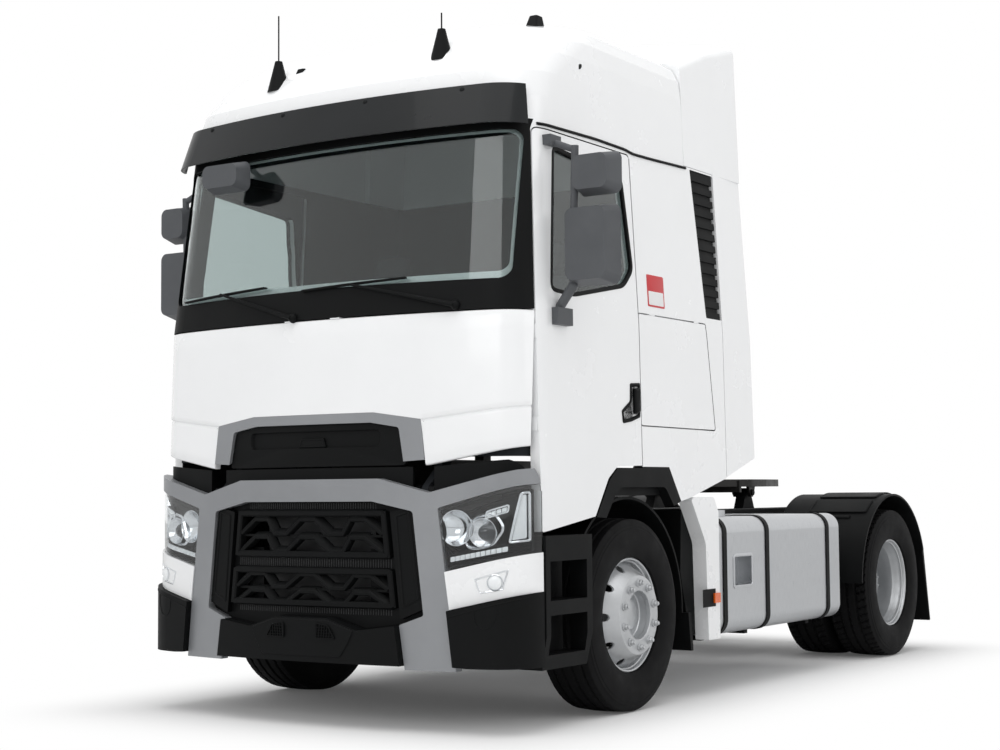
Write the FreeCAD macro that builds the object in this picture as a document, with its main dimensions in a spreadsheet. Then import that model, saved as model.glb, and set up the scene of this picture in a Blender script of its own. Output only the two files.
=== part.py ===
import FreeCAD, Part
import Sketcher

import math
import os

# A two-axle semi-truck tractor unit with a cab over the engine and a high-roof sleeper.
# Millimetres. X points to the vehicle's left, Y to its rear and Z up from the ground,
# with the origin on the ground under the middle of the truck.

doc = FreeCAD.newDocument("TractorUnit")
V = FreeCAD.Vector

# Driving sizes, one row each: name, value, what it sets.
rows = (
    ("frontOverhang", 1300, "front axle to the foremost edge of the bumper"),
    ("wheelbase", 3600, "front axle to rear axle"),
    ("rearOverhang", 700, "rear axle to the end of the frame"),
    ("tyreRadius", 507, "tyre's outer radius"),
    ("tyreSection", 312, "tyre's section width"),
    ("tyreTread", 262, "width of the tread"),
    ("tyreSides", 48, "flat sides round a tyre"),
    ("beadThick", 10, "bead's thickness above its seat"),
    ("beadRadius", 286, "rim's bead seat radius"),
    ("beadWidth", 228, "between the rim's flanges"),
    ("rimFlange", 298, "radius of the rim's flange"),
    ("rimWall", 8, "rim's thickness"),
    ("frontTrackHalf", 1035, "middle of a front tyre from the centre line"),
    ("twinOuterHalf", 1095, "middle of an outer rear tyre from the centre line"),
    ("twinInnerHalf", 750, "middle of an inner rear tyre from the centre line"),
    ("studCircle", 335, "wheel studs' pitch circle"),
    ("hubBore", 281, "rim's centre bore"),
    ("hubMouth", 252, "front wheel's open middle"),
    ("discProud", 57, "front wheel's disc beyond its rim's flange"),
    ("kingpinHalf", 900, "steering pin from the centre line"),
    ("kingpinRadius", 25, "steering pin's radius"),
    ("knucklePlateIn", 62, "steering pin to the knuckle's plate"),
    ("knucklePlateOut", 92, "steering pin to the outer face of the knuckle's plate"),
    ("hubGap", 6, "gap between a knuckle and its hub"),
    ("spindleRadius", 42, "front wheel spindle's radius"),
    ("rearSpindleRadius", 60, "rear wheel spindle's radius"),
    ("runningGap", 0.4, "radial play of turning fits"),
    ("railHalf", 425, "frame rail's outer face from the centre line"),
    ("railDepth", 270, "frame rail's height"),
    ("railFlange", 75, "frame rail's flange width"),
    ("railWall", 10, "frame rail's thickness"),
    ("railTop", 950, "frame rail's top above the ground"),
    ("railNose", 1040, "frame rail's front end ahead of the front axle"),
    ("cabNose", 1240, "cab's front ahead of the front axle, at the bonnet"),
    ("cowlNose", 1205, "cab's front at the foot of the windscreen"),
    ("browNose", 1085, "cab's front at the head of the windscreen"),
    ("cabHalf", 1218, "cab's half width at the door sill"),
    ("cowlHalf", 1203, "cab's half width at the foot of the windscreen"),
    ("browHalf", 1152, "cab's half width at the head of the windscreen"),
    ("noseRadius", 5000, "radius of the cab's front in plan"),
    ("cornerRadius", 250, "radius of the cab's front corners in plan"),
    ("skirtBottom", 955, "cab side's lowest edge"),
    ("cowlHeight", 2040, "foot of the windscreen"),
    ("browHeight", 3000, "joint between the cab body and its roof"),
    ("roofHeight", 3690, "top of the roof's crown"),
    ("cabBack", 1060, "cab's rear wall behind the front axle"),
    ("cabWall", 60, "thickness of cab walls"),
    ("doorWall", 52, "thickness of a door"),
    ("floorTop", 1450, "cab floor"),
    ("floorWall", 50, "thickness of the cab floor"),
    ("seam", 7, "gap between panels"),
    ("seatGap", 0.3, "gap between pieces that seat on each other"),
    ("glassDepth", 14, "glass below the outer skin"),
    ("glassWall", 9, "thickness of the glass"),
    ("flapWall", 45, "thickness of the front flap"),
    ("bandDepth", 36, "depth of the windscreen's surround"),
    ("pivotAhead", 1120, "cab pivot ahead of the front axle"),
    ("pivotHeight", 1160, "cab pivot above the ground"),
    ("pivotHalf", 660, "cab pivot bracket from the centre line"),
    ("pivotRadius", 22, "cab pivot pin's radius"),
    ("barNose", 1262, "grey front bar ahead of the front axle"),
    ("bumperHalf", 1225, "bumper's half width"),
    ("bumperWall", 50, "depth of the bumper's panels"),
    ("grilleDepth", 46, "depth of the grille"),
    ("beamLow", 372, "lower face of the bumper beam"),
    ("beamHigh", 466, "upper face of the bumper beam"),
    ("bumperBottom", 320, "bumper's lower edge"),
    ("bumperBack", 950, "bumper's side end ahead of the front axle"),
    ("stepHalf", 1232, "outer face of the entry steps from the centre line"),
    ("steerClear", 606, "room kept round a steering pin for its tyre"),
    ("tankHalf", 1205, "outer face of the tanks from the centre line"),
    ("tankBottom", 325, "bottom of the tanks"),
    ("tankTop", 1000, "top of the tanks"),
    ("tankFront", 960, "front of the left tank behind the front axle"),
    ("tankBack", 2720, "rear of the left tank behind the front axle"),
    ("tankRound", 90, "radius of the tank's long edges"),
    ("guardRadius", 600, "inner radius of the rear mudguards"),
    ("guardWall", 14, "thickness of the mudguards"),
    ("fairingBack", 1440, "rear edge of the side fairings behind the front axle"),
    ("fairingWall", 34, "thickness of the side fairings"),
    ("doorFront", 944, "door's front edge ahead of the front axle"),
    ("doorBack", 58, "door's rear edge behind the front axle"),
    ("doorTop", 2955, "door's top edge"),
    ("archFront", 442, "front foot of the wheel arch ahead of the front axle"),
    ("archBack", 490, "rear foot of the wheel arch behind the front axle"),
    ("archFoot", 1030, "height of the wheel arch's front foot"),
    ("archTop", 1284, "top of the wheel arch's trim"),
    ("lockerTop", 2100, "top edge of the side lockers' lids"),
    ("lockerWall", 26, "thickness of a locker lid"),
    ("screenHalf", 1108, "windscreen's half width"),
    ("flapBottom", 1290, "lower edge of the front flap"),
    ("firewallDepth", 66, "firewall behind the cab's outer form"),
    ("tiltClear", 168, "room kept about the cab's pivot by the flap"),
    ("tiltKeep", 162, "reach of the bumper about the cab's pivot"),
    ("roofWall", 34, "thickness of the roof"),
    ("roofBack", 700, "rear edge of the roof's dome behind the front axle"),
    ("deflectorTop", 3970, "top of the roof deflector's crown"),
    ("deflectorDrop", 130, "fall of the roof deflector from its crown to its shoulders"),
    ("tankStand", 60, "gap from the frame rail to a tank"),
    ("boxBack", 1760, "rear of the silencer box behind the front axle"),
    ("coupleAhead", 520, "coupling's centre ahead of the rear axle"),
    ("coupleTop", 1230, "top of the coupling plate"),
    ("coupleWidth", 920, "coupling plate's width"),
    ("coupleLength", 880, "coupling plate's length"),
    ("couplePlate", 50, "coupling plate's thickness"),
    ("throatWidth", 51, "coupling's throat for the trailer's pin"),
    ("apronWall", 12, "thickness of the dark panel behind the front bar"),
    ("fairingFace", 1125, "outer face of the wheel arch's rear box from the centre line"),
    ("tailHalf", 600, "half length of the rear beam"),
    ("tailHeight", 96, "height of the rear beam"),
    ("tailDepth", 70, "rear beam's front face ahead of the end of the frame"),
)

sheet = doc.addObject("Spreadsheet::Sheet", "Sizes")
for number, (alias, amount, note) in enumerate(rows, 1):
    sheet.set(f"A{number}", note)
    sheet.set(f"B{number}", str(amount))
    sheet.setAlias(f"B{number}", alias)
doc.recompute()


class Sizes:
    pass


S = Sizes()
for alias, amount, note in rows:
    setattr(S, alias, float(sheet.get(alias)))

# Places along the truck that follow from the driving sizes.
frontAxle = (S.frontOverhang - S.wheelbase - S.rearOverhang) / 2
rearAxle = frontAxle + S.wheelbase
tail = rearAxle + S.rearOverhang
frontAxleCell = "((Sizes.frontOverhang - Sizes.wheelbase - Sizes.rearOverhang) / 2)"
rearAxleCell = "((Sizes.frontOverhang + Sizes.wheelbase - Sizes.rearOverhang) / 2)"
coupling = rearAxle - S.coupleAhead
railBottom = S.railTop - S.railDepth
sides = ((1, "left"), (-1, "right"))

parts = {}


# Plain helpers

def keep(name, item):
    item.Label = name
    parts[name] = item
    return item


def feature(name, shape):
    item = doc.addObject("Part::Feature", name)
    item.Shape = shape
    item.Placement = FreeCAD.Placement()
    return keep(name, item)


def box(x0, x1, y0, y1, z0, z1):
    return Part.makeBox(x1 - x0, y1 - y0, z1 - z0, V(x0, y0, z0))


def rod(radius, start, end):
    return Part.makeCylinder(radius, (end - start).Length, start, end - start)


def mirrored(shape):
    return shape.mirror(V(0, 0, 0), V(1, 0, 0))


def both(shape):
    return Part.makeCompound([shape, mirrored(shape)])


def joined(shapes):
    whole = shapes[0].multiFuse(shapes[1:])
    return whole.removeSplitter()


def outline(points, place):
    # Closed outline of points (a, b) or (a, b, radius), each corner rounded by its radius.
    edges = []
    ends = []
    count = len(points)
    for here in range(count):
        corner = V(points[here][0], points[here][1], 0)
        before = V(points[here - 1][0], points[here - 1][1], 0)
        after = V(points[(here + 1) % count][0], points[(here + 1) % count][1], 0)
        radius = points[here][2] if len(points[here]) > 2 else 0
        if radius == 0:
            ends.append((corner, None, corner))
            continue
        toBefore = (before - corner).normalize()
        toAfter = (after - corner).normalize()
        half = toBefore.getAngle(toAfter) / 2
        run = radius / math.tan(half)
        most = 0.48 * min((before - corner).Length, (after - corner).Length)
        if run > most:
            run = most
            radius = run * math.tan(half)
        inward = (toBefore + toAfter).normalize()
        centre = corner + inward * (radius / math.sin(half))
        ends.append((corner + toBefore * run, centre - inward * radius, corner + toAfter * run))
    for here in range(count):
        first, middle, last = ends[here]
        nextFirst = ends[(here + 1) % count][0]
        if middle is not None:
            edges.append(Part.Arc(place(first), place(middle), place(last)).toShape())
        if (nextFirst - last).Length > 1e-6:
            edges.append(Part.LineSegment(place(last), place(nextFirst)).toShape())
    return Part.Wire(edges)


def sideSlab(points, x0, x1):
    # Side view outline, as distance behind the front axle and height, carried from x0 to x1.
    wire = outline(points, lambda p: V(x0, frontAxle + p.x, p.y))
    return Part.Face(wire).extrude(V(x1 - x0, 0, 0))


def frontSlab(points, y0, y1):
    # Front view outline, as distance from the centre line and height, carried from y0 to y1.
    wire = outline(points, lambda p: V(p.x, y0, p.y))
    return Part.Face(wire).extrude(V(0, y1 - y0, 0))


def planSlab(points, z0, z1):
    wire = outline(points, lambda p: V(p.x, p.y, z0))
    return Part.Face(wire).extrude(V(0, 0, z1 - z0))


def mirrorPoints(points):
    # A half outline from the centre line outwards and back, made whole.
    other = [(-p[0],) + tuple(p[1:]) for p in reversed(points) if p[0] > 0]
    return list(points) + other


# Plan curve shared by the cab and the bumper: a slow arc across the nose, a tight arc at
# each corner and straight sides. Every inset keeps the same centres, so layers stay parallel.

def noseCurve(nose, half, inset, height, corner=None):
    corner = corner or S.cornerRadius
    noseY = frontAxle - nose
    spread = S.noseRadius - corner
    reach = math.sqrt(spread ** 2 - (half - corner) ** 2)
    centre = V(half - corner, noseY + S.noseRadius - reach, height)
    lead = V((half - corner) / spread, -reach / spread, 0)
    turn = (lead + V(1, 0, 0)).normalize()
    radius = corner - inset
    tip = V(0, noseY + inset, height)
    return tip, centre + lead * radius, centre + turn * radius, centre + V(radius, 0, 0)


def flip(point):
    return V(-point.x, point.y, point.z)


def planWire(nose, half, inset, height, back, corner=None):
    tip, start, middle, side = noseCurve(nose, half, inset, height, corner)
    rear = V(side.x, back, height)
    return Part.Wire([
        Part.Arc(flip(start), tip, start).toShape(),
        Part.Arc(start, middle, side).toShape(),
        Part.LineSegment(side, rear).toShape(),
        Part.LineSegment(rear, flip(rear)).toShape(),
        Part.LineSegment(flip(rear), flip(side)).toShape(),
        Part.Arc(flip(side), flip(middle), flip(start)).toShape(),
    ])


def skinX(ahead, nose, half, height):
    # Half width of the plan curve at a distance ahead of the front axle.
    centre = noseCurve(nose, half, 0, height)[3]
    drop = max(0, centre.y - (frontAxle - ahead))
    return centre.x - S.cornerRadius + math.sqrt(S.cornerRadius ** 2 - drop ** 2)


def cabBlock(inset, rearInset=None):
    # The cab body's outer form moved inwards by inset, from the skirt to the roof joint.
    back = frontAxle + S.cabBack - (inset if rearInset is None else rearInset)
    return Part.makeLoft([
        planWire(S.cabNose, S.cabHalf, inset, S.skirtBottom, back),
        planWire(S.cowlNose, S.cowlHalf, inset, S.cowlHeight, back),
        planWire(S.browNose, S.browHalf, inset, S.browHeight, back),
    ], True, True)


def cabLayer(outer, inner):
    return cabBlock(outer, 0 if outer == 0 else None).cut(cabBlock(inner))


def noseBand(nose, half, outer, inner, z0, z1, back):
    # Slice of a bumper panel between two depths behind the plan curve, ending at back.
    deep = frontAxle - S.pivotAhead / 2
    front = Part.Face(planWire(nose, half, outer, z0, deep)).extrude(V(0, 0, z1 - z0))
    rest = Part.Face(planWire(nose, half, inner, z0, deep + 1)).extrude(V(0, 0, z1 - z0))
    return front.cut(rest).common(box(-2000, 2000, -5000, back, z0, z1))


# Sketches and bodies whose sizes follow the sheet

def newBody(name):
    item = doc.addObject("PartDesign::Body", name)
    return keep(name, item)


def plane(body, role):
    return next(item for item in body.Origin.OriginFeatures if item.Role == role)


def newSketch(body, role, name, offset=None):
    sketch = body.newObject("Sketcher::SketchObject", name)
    sketch.AttachmentSupport = [(plane(body, role), "")]
    sketch.MapMode = "FlatFace"
    if offset:
        sketch.setExpression(".AttachmentOffset.Base.z", offset)
    return sketch


def drawCells(sketch, points):
    # Closed polygon whose corners are pairs of expressions.
    start = sketch.GeometryCount
    values = [(sheet.evalExpression(a), sheet.evalExpression(b)) for a, b in points]
    values = [(float(a), float(b)) for a, b in values]
    count = len(points)
    for here in range(count):
        a = values[here]
        b = values[(here + 1) % count]
        sketch.addGeometry(Part.LineSegment(V(a[0], a[1], 0), V(b[0], b[1], 0)), False)
    for here in range(count):
        line = start + here
        following = start + (here + 1) % count
        sketch.addConstraint(Sketcher.Constraint("Coincident", line, 2, following, 1))
        for axis, kind in ((0, "DistanceX"), (1, "DistanceY")):
            if abs(values[here][axis]) < 1e-9:
                sketch.addConstraint(Sketcher.Constraint("PointOnObject", line, 1, -2 + axis))
                continue
            spot = sketch.addConstraint(
                Sketcher.Constraint(kind, -1, 1, line, 1, values[here][axis]))
            sketch.setExpression(f"Constraints[{spot}]", points[here][axis])


def drawCircle(sketch, across, up, radius):
    at = (float(sheet.evalExpression(across)), float(sheet.evalExpression(up)))
    size = float(sheet.evalExpression(radius))
    ring = sketch.addGeometry(Part.Circle(V(at[0], at[1], 0), V(0, 0, 1), size), False)
    spot = sketch.addConstraint(Sketcher.Constraint("Radius", ring, size))
    sketch.setExpression(f"Constraints[{spot}]", radius)
    for axis, (kind, cell) in enumerate((("DistanceX", across), ("DistanceY", up))):
        if abs(at[axis]) < 1e-9:
            sketch.addConstraint(Sketcher.Constraint("PointOnObject", ring, 3, -2 + axis))
            continue
        spot = sketch.addConstraint(Sketcher.Constraint(kind, -1, 1, ring, 3, at[axis]))
        sketch.setExpression(f"Constraints[{spot}]", cell)


def pad(body, sketch, name, length, both=False):
    item = body.newObject("PartDesign::Pad", name)
    item.Profile = sketch
    item.Midplane = both
    item.setExpression("Length", length)
    return item


def pocket(body, sketch, name, length, both=True):
    item = body.newObject("PartDesign::Pocket", name)
    item.Profile = sketch
    item.Midplane = both
    item.setExpression("Length", length)
    return item


def revolve(body, sketch, name):
    item = body.newObject("PartDesign::Revolution", name)
    item.Profile = sketch
    item.ReferenceAxis = (sketch, ["V_Axis"])
    item.Angle = 360
    return item


def place(item, x, y, z, turnAxis=None, angle=0):
    if turnAxis:
        item.Placement = FreeCAD.Placement(V(0, 0, 0), FreeCAD.Rotation(turnAxis, angle))
    for name, cell in (("x", x), ("y", y), ("z", z)):
        item.setExpression(f".Placement.Base.{name}", cell)


# Frame: two C rails tied by round cross members

def makeFrame():
    frame = newBody("frame")
    section = newSketch(frame, "XZ_Plane", "RailSection")
    outerX = "Sizes.railHalf"
    webX = "Sizes.railHalf - Sizes.railWall"
    lipX = "Sizes.railHalf - Sizes.railFlange"
    top = "Sizes.railTop"
    low = "Sizes.railTop - Sizes.railDepth"
    for sign in ("", "-1 * "):
        drawCells(section, [
            (f"{sign}({lipX})", low), (f"{sign}({outerX})", low),
            (f"{sign}({outerX})", top), (f"{sign}({lipX})", top),
            (f"{sign}({lipX})", f"{top} - Sizes.railWall"),
            (f"{sign}({webX})", f"{top} - Sizes.railWall"),
            (f"{sign}({webX})", f"{low} + Sizes.railWall"),
            (f"{sign}({lipX})", f"{low} + Sizes.railWall"),
        ])
    section.setExpression(".AttachmentOffset.Base.z", f"Sizes.railNose - {frontAxleCell}")
    rails = frame.newObject("PartDesign::Pad", "Rails")
    rails.Profile = section
    rails.Reversed = True
    rails.setExpression("Length", "Sizes.railNose + Sizes.wheelbase + Sizes.rearOverhang")
    # Cross members lie at these shares of the way from the front axle to the frame's end.
    for number, share in enumerate((-0.2, 0.33, 0.52, 0.7, 0.94)):
        ring = newSketch(frame, "YZ_Plane", f"Crossing{number}")
        run = "(Sizes.wheelbase + Sizes.rearOverhang)"
        drawCircle(ring, f"{frontAxleCell} + {share} * {run}",
                   "Sizes.railTop - Sizes.railDepth / 2", "Sizes.railDepth * 0.22")
        pad(frame, ring, f"Tube{number}", "2 * (Sizes.railHalf - Sizes.railWall / 2)", True)
    # The rear beam carries the tail lamps.
    rear = newSketch(frame, "XZ_Plane", "RearBeam", f"-1 * ({frontAxleCell} + {run} - Sizes.tailDepth)")
    drawCells(rear, [
        ("-1 * Sizes.tailHalf", low), ("Sizes.tailHalf", low),
        ("Sizes.tailHalf", f"{low} + Sizes.tailHeight"), ("-1 * Sizes.tailHalf", f"{low} + Sizes.tailHeight"),
    ])
    beam = frame.newObject("PartDesign::Pad", "RearBeamPad")
    beam.Profile = rear
    beam.Reversed = True
    beam.setExpression("Length", "Sizes.tailDepth - 12")
    return frame


makeFrame()


# Wheels

def makeTyre(middle, axle, side):
    # Faceted ring with slanted walls and a flat tread, whose lowest flat lies on the ground.
    bead = S.beadWidth / 2 - S.rimWall
    wall = (S.beadRadius + S.tyreRadius) / 2
    bore = S.beadRadius + S.runningGap
    half = [(bore, bead), (S.beadRadius + S.beadThick, bead), (wall, S.tyreSection / 2),
            (S.tyreRadius, S.tyreTread / 2)]
    profile = half + [(radius, -across) for radius, across in half[::-1]]
    count = int(S.tyreSides)
    flat = math.cos(math.pi / count)
    loops = []
    for radius, across in profile:
        loops.append([V(side * (middle + across), axle + radius / flat * math.sin(turn),
                        S.tyreRadius - radius / flat * math.cos(turn))
                      for turn in (math.pi * (2 * step + 1) / count for step in range(count))])
    faces = []
    for here, loop in enumerate(loops):
        after = loops[(here + 1) % len(loops)]
        for step in range(count):
            following = (step + 1) % count
            faces.append(Part.Face(Part.makePolygon(
                [loop[step], after[step], after[following], loop[following], loop[step]])))
    solid = Part.makeSolid(Part.makeShell(faces))
    if solid.Volume < 0:
        solid.reverse()
    return solid


def makeTyres():
    for side, word in sides:
        feature(f"front_tyre_{word}", makeTyre(S.frontTrackHalf, frontAxle, side))
        feature(f"rear_tyres_{word}", Part.makeCompound(
            [makeTyre(middle, rearAxle, side) for middle in (S.twinOuterHalf, S.twinInnerHalf)]))


def ringShape(points, centre, side):
    # Turned solid about the axle line: points are (radius, distance out from the centre line).
    wire = outline(points, lambda p: V(side * p.y, centre.y, centre.z + p.x))
    return Part.Face(wire).revolve(centre, V(1, 0, 0), 360)


def handHoles(centre, side, near, far, count, middle, radius):
    # Round hand holes in a wheel's disc.
    cutters = []
    for step in range(count):
        angle = 2 * math.pi * (step + 0.5) / count
        at = V(0, middle * math.sin(angle), middle * math.cos(angle)) + centre
        cutters.append(rod(radius, at + V(side * near, 0, 0), at + V(side * far, 0, 0)))
    return cutters


def wheelNuts(centre, side, face, length, count):
    nuts = []
    for step in range(count):
        angle = 2 * math.pi * step / count
        at = V(0, S.studCircle / 2 * math.sin(angle), S.studCircle / 2 * math.cos(angle)) + centre
        nuts.append(rod(17, at + V(side * (face - 2), 0, 0), at + V(side * (face + length), 0, 0)))
    return nuts


def makeRims():
    thick = 16
    for side, word in sides:
        centre = V(0, frontAxle, S.tyreRadius)
        # Front: the disc rises out of the rim to a flat ring that carries the nuts.
        middle = S.frontTrackHalf
        low = middle - S.beadWidth / 2
        high = middle + S.beadWidth / 2
        seat = S.beadRadius
        inside = seat - S.rimWall
        lip = S.rimWall
        flange = high + lip
        face = flange + S.discProud
        mouth = S.hubMouth / 2
        rim = ringShape([
            (seat, low + 2), (S.rimFlange, low + 2), (S.rimFlange, low - lip), (inside, low - lip),
            (inside, flange - 80), (252, flange - 48), (208, flange + 14), (196, face - 19), (180, face - thick),
            (mouth, face - thick), (mouth, face), (196, face), (210, face - 7), (224, flange + 28),
            (264, flange - 30), (inside, flange - 52), (inside, flange),
            (S.rimFlange, flange), (S.rimFlange, high - 2), (seat, high - 2),
        ], centre, side)
        rim = rim.cut(Part.makeCompound(handHoles(centre, side, flange - 90, face + 40, 10, 249, 22)))
        bore = S.spindleRadius + S.runningGap
        hubIn = S.kingpinHalf + S.knucklePlateOut + S.hubGap
        hub = ringShape([
            (bore, hubIn), (120, hubIn), (120, face - 80), (150, face - 44), (186, face - 36),
            (186, face - thick), (mouth, face - thick), (mouth, face - 66), (62, face - 74), (bore, face - 74),
        ], centre, side)
        pieces = [rim, hub] + wheelNuts(centre, side, face, 28, 10)
        feature(f"front_rim_{word}", joined(pieces))
        # Rear: two rims set back to back on one hub.
        centre = V(0, rearAxle, S.tyreRadius)
        meet = (S.twinOuterHalf + S.twinInnerHalf) / 2
        shapes = []
        for turn, middle in ((1, S.twinOuterHalf), (-1, S.twinInnerHalf)):
            low = middle - turn * S.beadWidth / 2
            high = middle + turn * S.beadWidth / 2
            shapes.append(ringShape([
                (seat, low + turn * 2), (S.rimFlange, low + turn * 2),
                (S.rimFlange, low - turn * lip), (inside, low - turn * lip),
                (inside, meet + turn * 76), (seat - 40, meet), (S.hubBore / 2, meet),
                (S.hubBore / 2, meet + turn * thick), (seat - 44, meet + turn * thick),
                (inside, meet + turn * 96), (inside, high + turn * lip),
                (S.rimFlange, high + turn * lip), (S.rimFlange, high - turn * 2),
                (seat, high - turn * 2),
            ], centre, side))
        bore = S.rearSpindleRadius + S.runningGap
        hubOut = ringShape([
            (bore, meet - 110), (130, meet - 110), (S.hubBore / 2, meet - thick),
            (S.hubBore / 2, meet + thick + 2), (132, meet + thick + 10), (120, meet + 150),
            (104, meet + 164), (bore, meet + 164),
        ], centre, side)
        shapes.append(hubOut)
        shapes += wheelNuts(centre, side, meet + thick, 34, 10)
        whole = joined(shapes)
        whole = whole.cut(Part.makeCompound(handHoles(centre, side, meet - 60, meet + 60, 10, 237, 26)))
        feature(f"rear_rims_{word}", whole)


makeTyres()
makeRims()


# Axles, knuckles and springs

def makeFrontAxle():
    # Forged beam that drops between its ends, with an eye for each steering pin.
    high = S.tyreRadius
    beam = frontSlab([
        (-S.kingpinHalf, high - 52), (-S.kingpinHalf + 180, high - 60), (-520, high - 130, 60),
        (520, high - 130, 60), (S.kingpinHalf - 180, high - 60), (S.kingpinHalf, high - 52),
        (S.kingpinHalf, high + 52), (S.kingpinHalf - 180, high + 46), (490, high - 20, 60),
        (-490, high - 20, 60), (-S.kingpinHalf + 180, high + 46), (-S.kingpinHalf, high + 52),
    ], frontAxle - 45, frontAxle + 45)
    eyes = []
    holes = []
    for side, word in sides:
        at = V(side * S.kingpinHalf, frontAxle, 0)
        eyes.append(rod(50, at + V(0, 0, high - 60), at + V(0, 0, high + 60)))
        holes.append(rod(S.kingpinRadius + S.runningGap, at + V(0, 0, high - 90), at + V(0, 0, high + 90)))
    pads = [box(x - 50, x + 50, frontAxle - 90, frontAxle + 90, high - 40, high + 20) for x in (-387, 387)]
    shape = joined([beam] + eyes + pads).cut(Part.makeCompound(holes))
    feature("front_axle", shape)


def makeKnuckles():
    high = S.tyreRadius
    for side, word in sides:
        at = V(side * S.kingpinHalf, frontAxle, 0)
        low, top = high - 112, high + 112
        pin = rod(S.kingpinRadius, at + V(0, 0, low), at + V(0, 0, top))
        ears = []
        for z0, z1 in ((low, high - 60.5), (high + 60.5, top)):
            ears.append(rod(52, at + V(0, 0, z0), at + V(0, 0, z1)))
            x0, x1 = sorted((at.x, at.x + side * S.knucklePlateOut))
            ears.append(box(x0, x1, frontAxle - 52, frontAxle + 52, z0, z1))
        x0, x1 = sorted((at.x + side * S.knucklePlateIn, at.x + side * S.knucklePlateOut))
        back = box(x0, x1, frontAxle - 75, frontAxle + 75, low, top)
        hubFace = S.frontTrackHalf + S.beadWidth / 2 + S.rimWall + S.discProud - 74
        spindle = rod(S.spindleRadius, V(at.x + side * S.knucklePlateIn, frontAxle, high),
                      V(side * (hubFace - 4), frontAxle, high))
        arm = box(*sorted((at.x - side * 40, at.x + side * 60)), frontAxle + 60, frontAxle + 232,
                  low, low + 32)
        root = box(*sorted((at.x - side * 40, at.x + side * 60)), frontAxle + 20, frontAxle + 80,
                   low, low + 32)
        feature(f"knuckle_{word}", joined([pin, back, spindle, arm, root] + ears))


def makeRearAxle():
    # Banjo housing with the drive shaft to the engine and the spindles for the hubs.
    centre = V(0, rearAxle, S.tyreRadius)
    inner = S.twinInnerHalf - S.tyreSection / 2 - 24
    meet = (S.twinOuterHalf + S.twinInnerHalf) / 2
    # Turned about the drive shaft's line: points are (radius, distance behind the axle).
    profile = [(0, -430), (95, -430), (95, -400), (70, -390), (112, -130), (205, -112), (205, 70),
               (150, 150), (0, 166)]
    wire = outline(profile, lambda p: V(0, rearAxle + p.y, S.tyreRadius + p.x))
    housing = [
        rod(86, V(-inner + 70, rearAxle, S.tyreRadius), V(inner - 70, rearAxle, S.tyreRadius)),
        Part.Face(wire).revolve(centre, V(0, 1, 0), 360),
        rod(S.rearSpindleRadius, V(-meet - 150, rearAxle, S.tyreRadius),
            V(meet + 150, rearAxle, S.tyreRadius)),
    ]
    engineEnd = frontAxle + 690
    start = V(0, engineEnd, 760)
    end = centre + V(0, -420, 0)
    shaft = rod(52, end, start + (start - end).normalize() * 20)
    housing.append(shaft.cut(box(-200, 200, frontAxle, engineEnd + S.seatGap, 500, 1000)))
    feature("rear_axle", joined(housing))


def springArc(halfLength, rise, thick, x0, x1, seatZ):
    # Leaf as an arc band: the middle on its seat and the ends raised.
    a = V(x0, frontAxle - halfLength, seatZ + rise)
    b = V(x0, frontAxle, seatZ)
    c = V(x0, frontAxle + halfLength, seatZ + rise)
    lift = V(0, 0, thick)
    wire = Part.Wire([
        Part.Arc(a, b, c).toShape(),
        Part.LineSegment(c, c + lift).toShape(),
        Part.Arc(c + lift, b + lift, a + lift).toShape(),
        Part.LineSegment(a + lift, a).toShape(),
    ])
    return Part.Face(wire).extrude(V(x1 - x0, 0, 0))


def makeSprings():
    seat = S.tyreRadius + 20
    half = 880
    rise = railBottom - seat - 62
    pieces = []
    for side, word in sides:
        x0, x1 = sorted((side * 345, side * 425))
        leaf = springArc(half, rise, 42, x0, x1, seat)
        hangers = []
        for end in (-half + 30, half - 30):
            hangers.append(box(x0, x1, frontAxle + end - 40, frontAxle + end + 40,
                               seat + rise - 20, railBottom))
        pieces.append(joined([leaf] + hangers))
    for side, word in sides:
        x = side * 388
        z = S.tyreRadius - 150
        arm = box(x - 37, x + 37, rearAxle - 640, rearAxle + 330, z, z + 64)
        hanger = box(x - 37, x + 37, rearAxle - 700, rearAxle - 600, z, railBottom)
        clamp = box(x - 37, x + 37, rearAxle - 60, rearAxle + 60, z, S.tyreRadius)
        clamp = clamp.cut(rod(86, V(-600, rearAxle, S.tyreRadius), V(600, rearAxle, S.tyreRadius)))
        at = V(x, rearAxle + 260, 0)
        bag = rod(37, at + V(0, 0, z + 60), at + V(0, 0, z + 90))
        bag = bag.fuse(rod(86, at + V(side * 10, 0, z + 88), at + V(side * 10, 0, railBottom)))
        pieces.append(joined([arm, hanger, clamp, bag]))
    feature("springs", Part.makeCompound(pieces))


makeFrontAxle()
makeKnuckles()
makeRearAxle()
makeSprings()


# Engine and radiator

def makeEngine():
    block = doc.addObject("Part::Box", "engine")
    block.setExpression("Length", "2 * (Sizes.railHalf - Sizes.railFlange - Sizes.seatGap)")
    block.Width = 1300
    block.setExpression("Height", "Sizes.floorTop - Sizes.floorWall - 70 - 640")
    block.setExpression(".Placement.Base.x", "-1 * (Sizes.railHalf - Sizes.railFlange - Sizes.seatGap)")
    block.setExpression(".Placement.Base.y", f"{frontAxleCell} - 610")
    block.setExpression(".Placement.Base.z", "640")
    keep("engine", block)
    cooler = doc.addObject("Part::Box", "radiator")
    cooler.setExpression("Length", "2 * (Sizes.railHalf - Sizes.railFlange - Sizes.seatGap)")
    cooler.Width = 90
    cooler.Height = 560
    cooler.setExpression(".Placement.Base.x", "-1 * (Sizes.railHalf - Sizes.railFlange - Sizes.seatGap)")
    cooler.setExpression(".Placement.Base.y", f"{frontAxleCell} - Sizes.railNose - 90")
    cooler.setExpression(".Placement.Base.z", "520")
    keep("radiator", cooler)


makeEngine()


# Cab: one hollow form split at its panels

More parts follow.
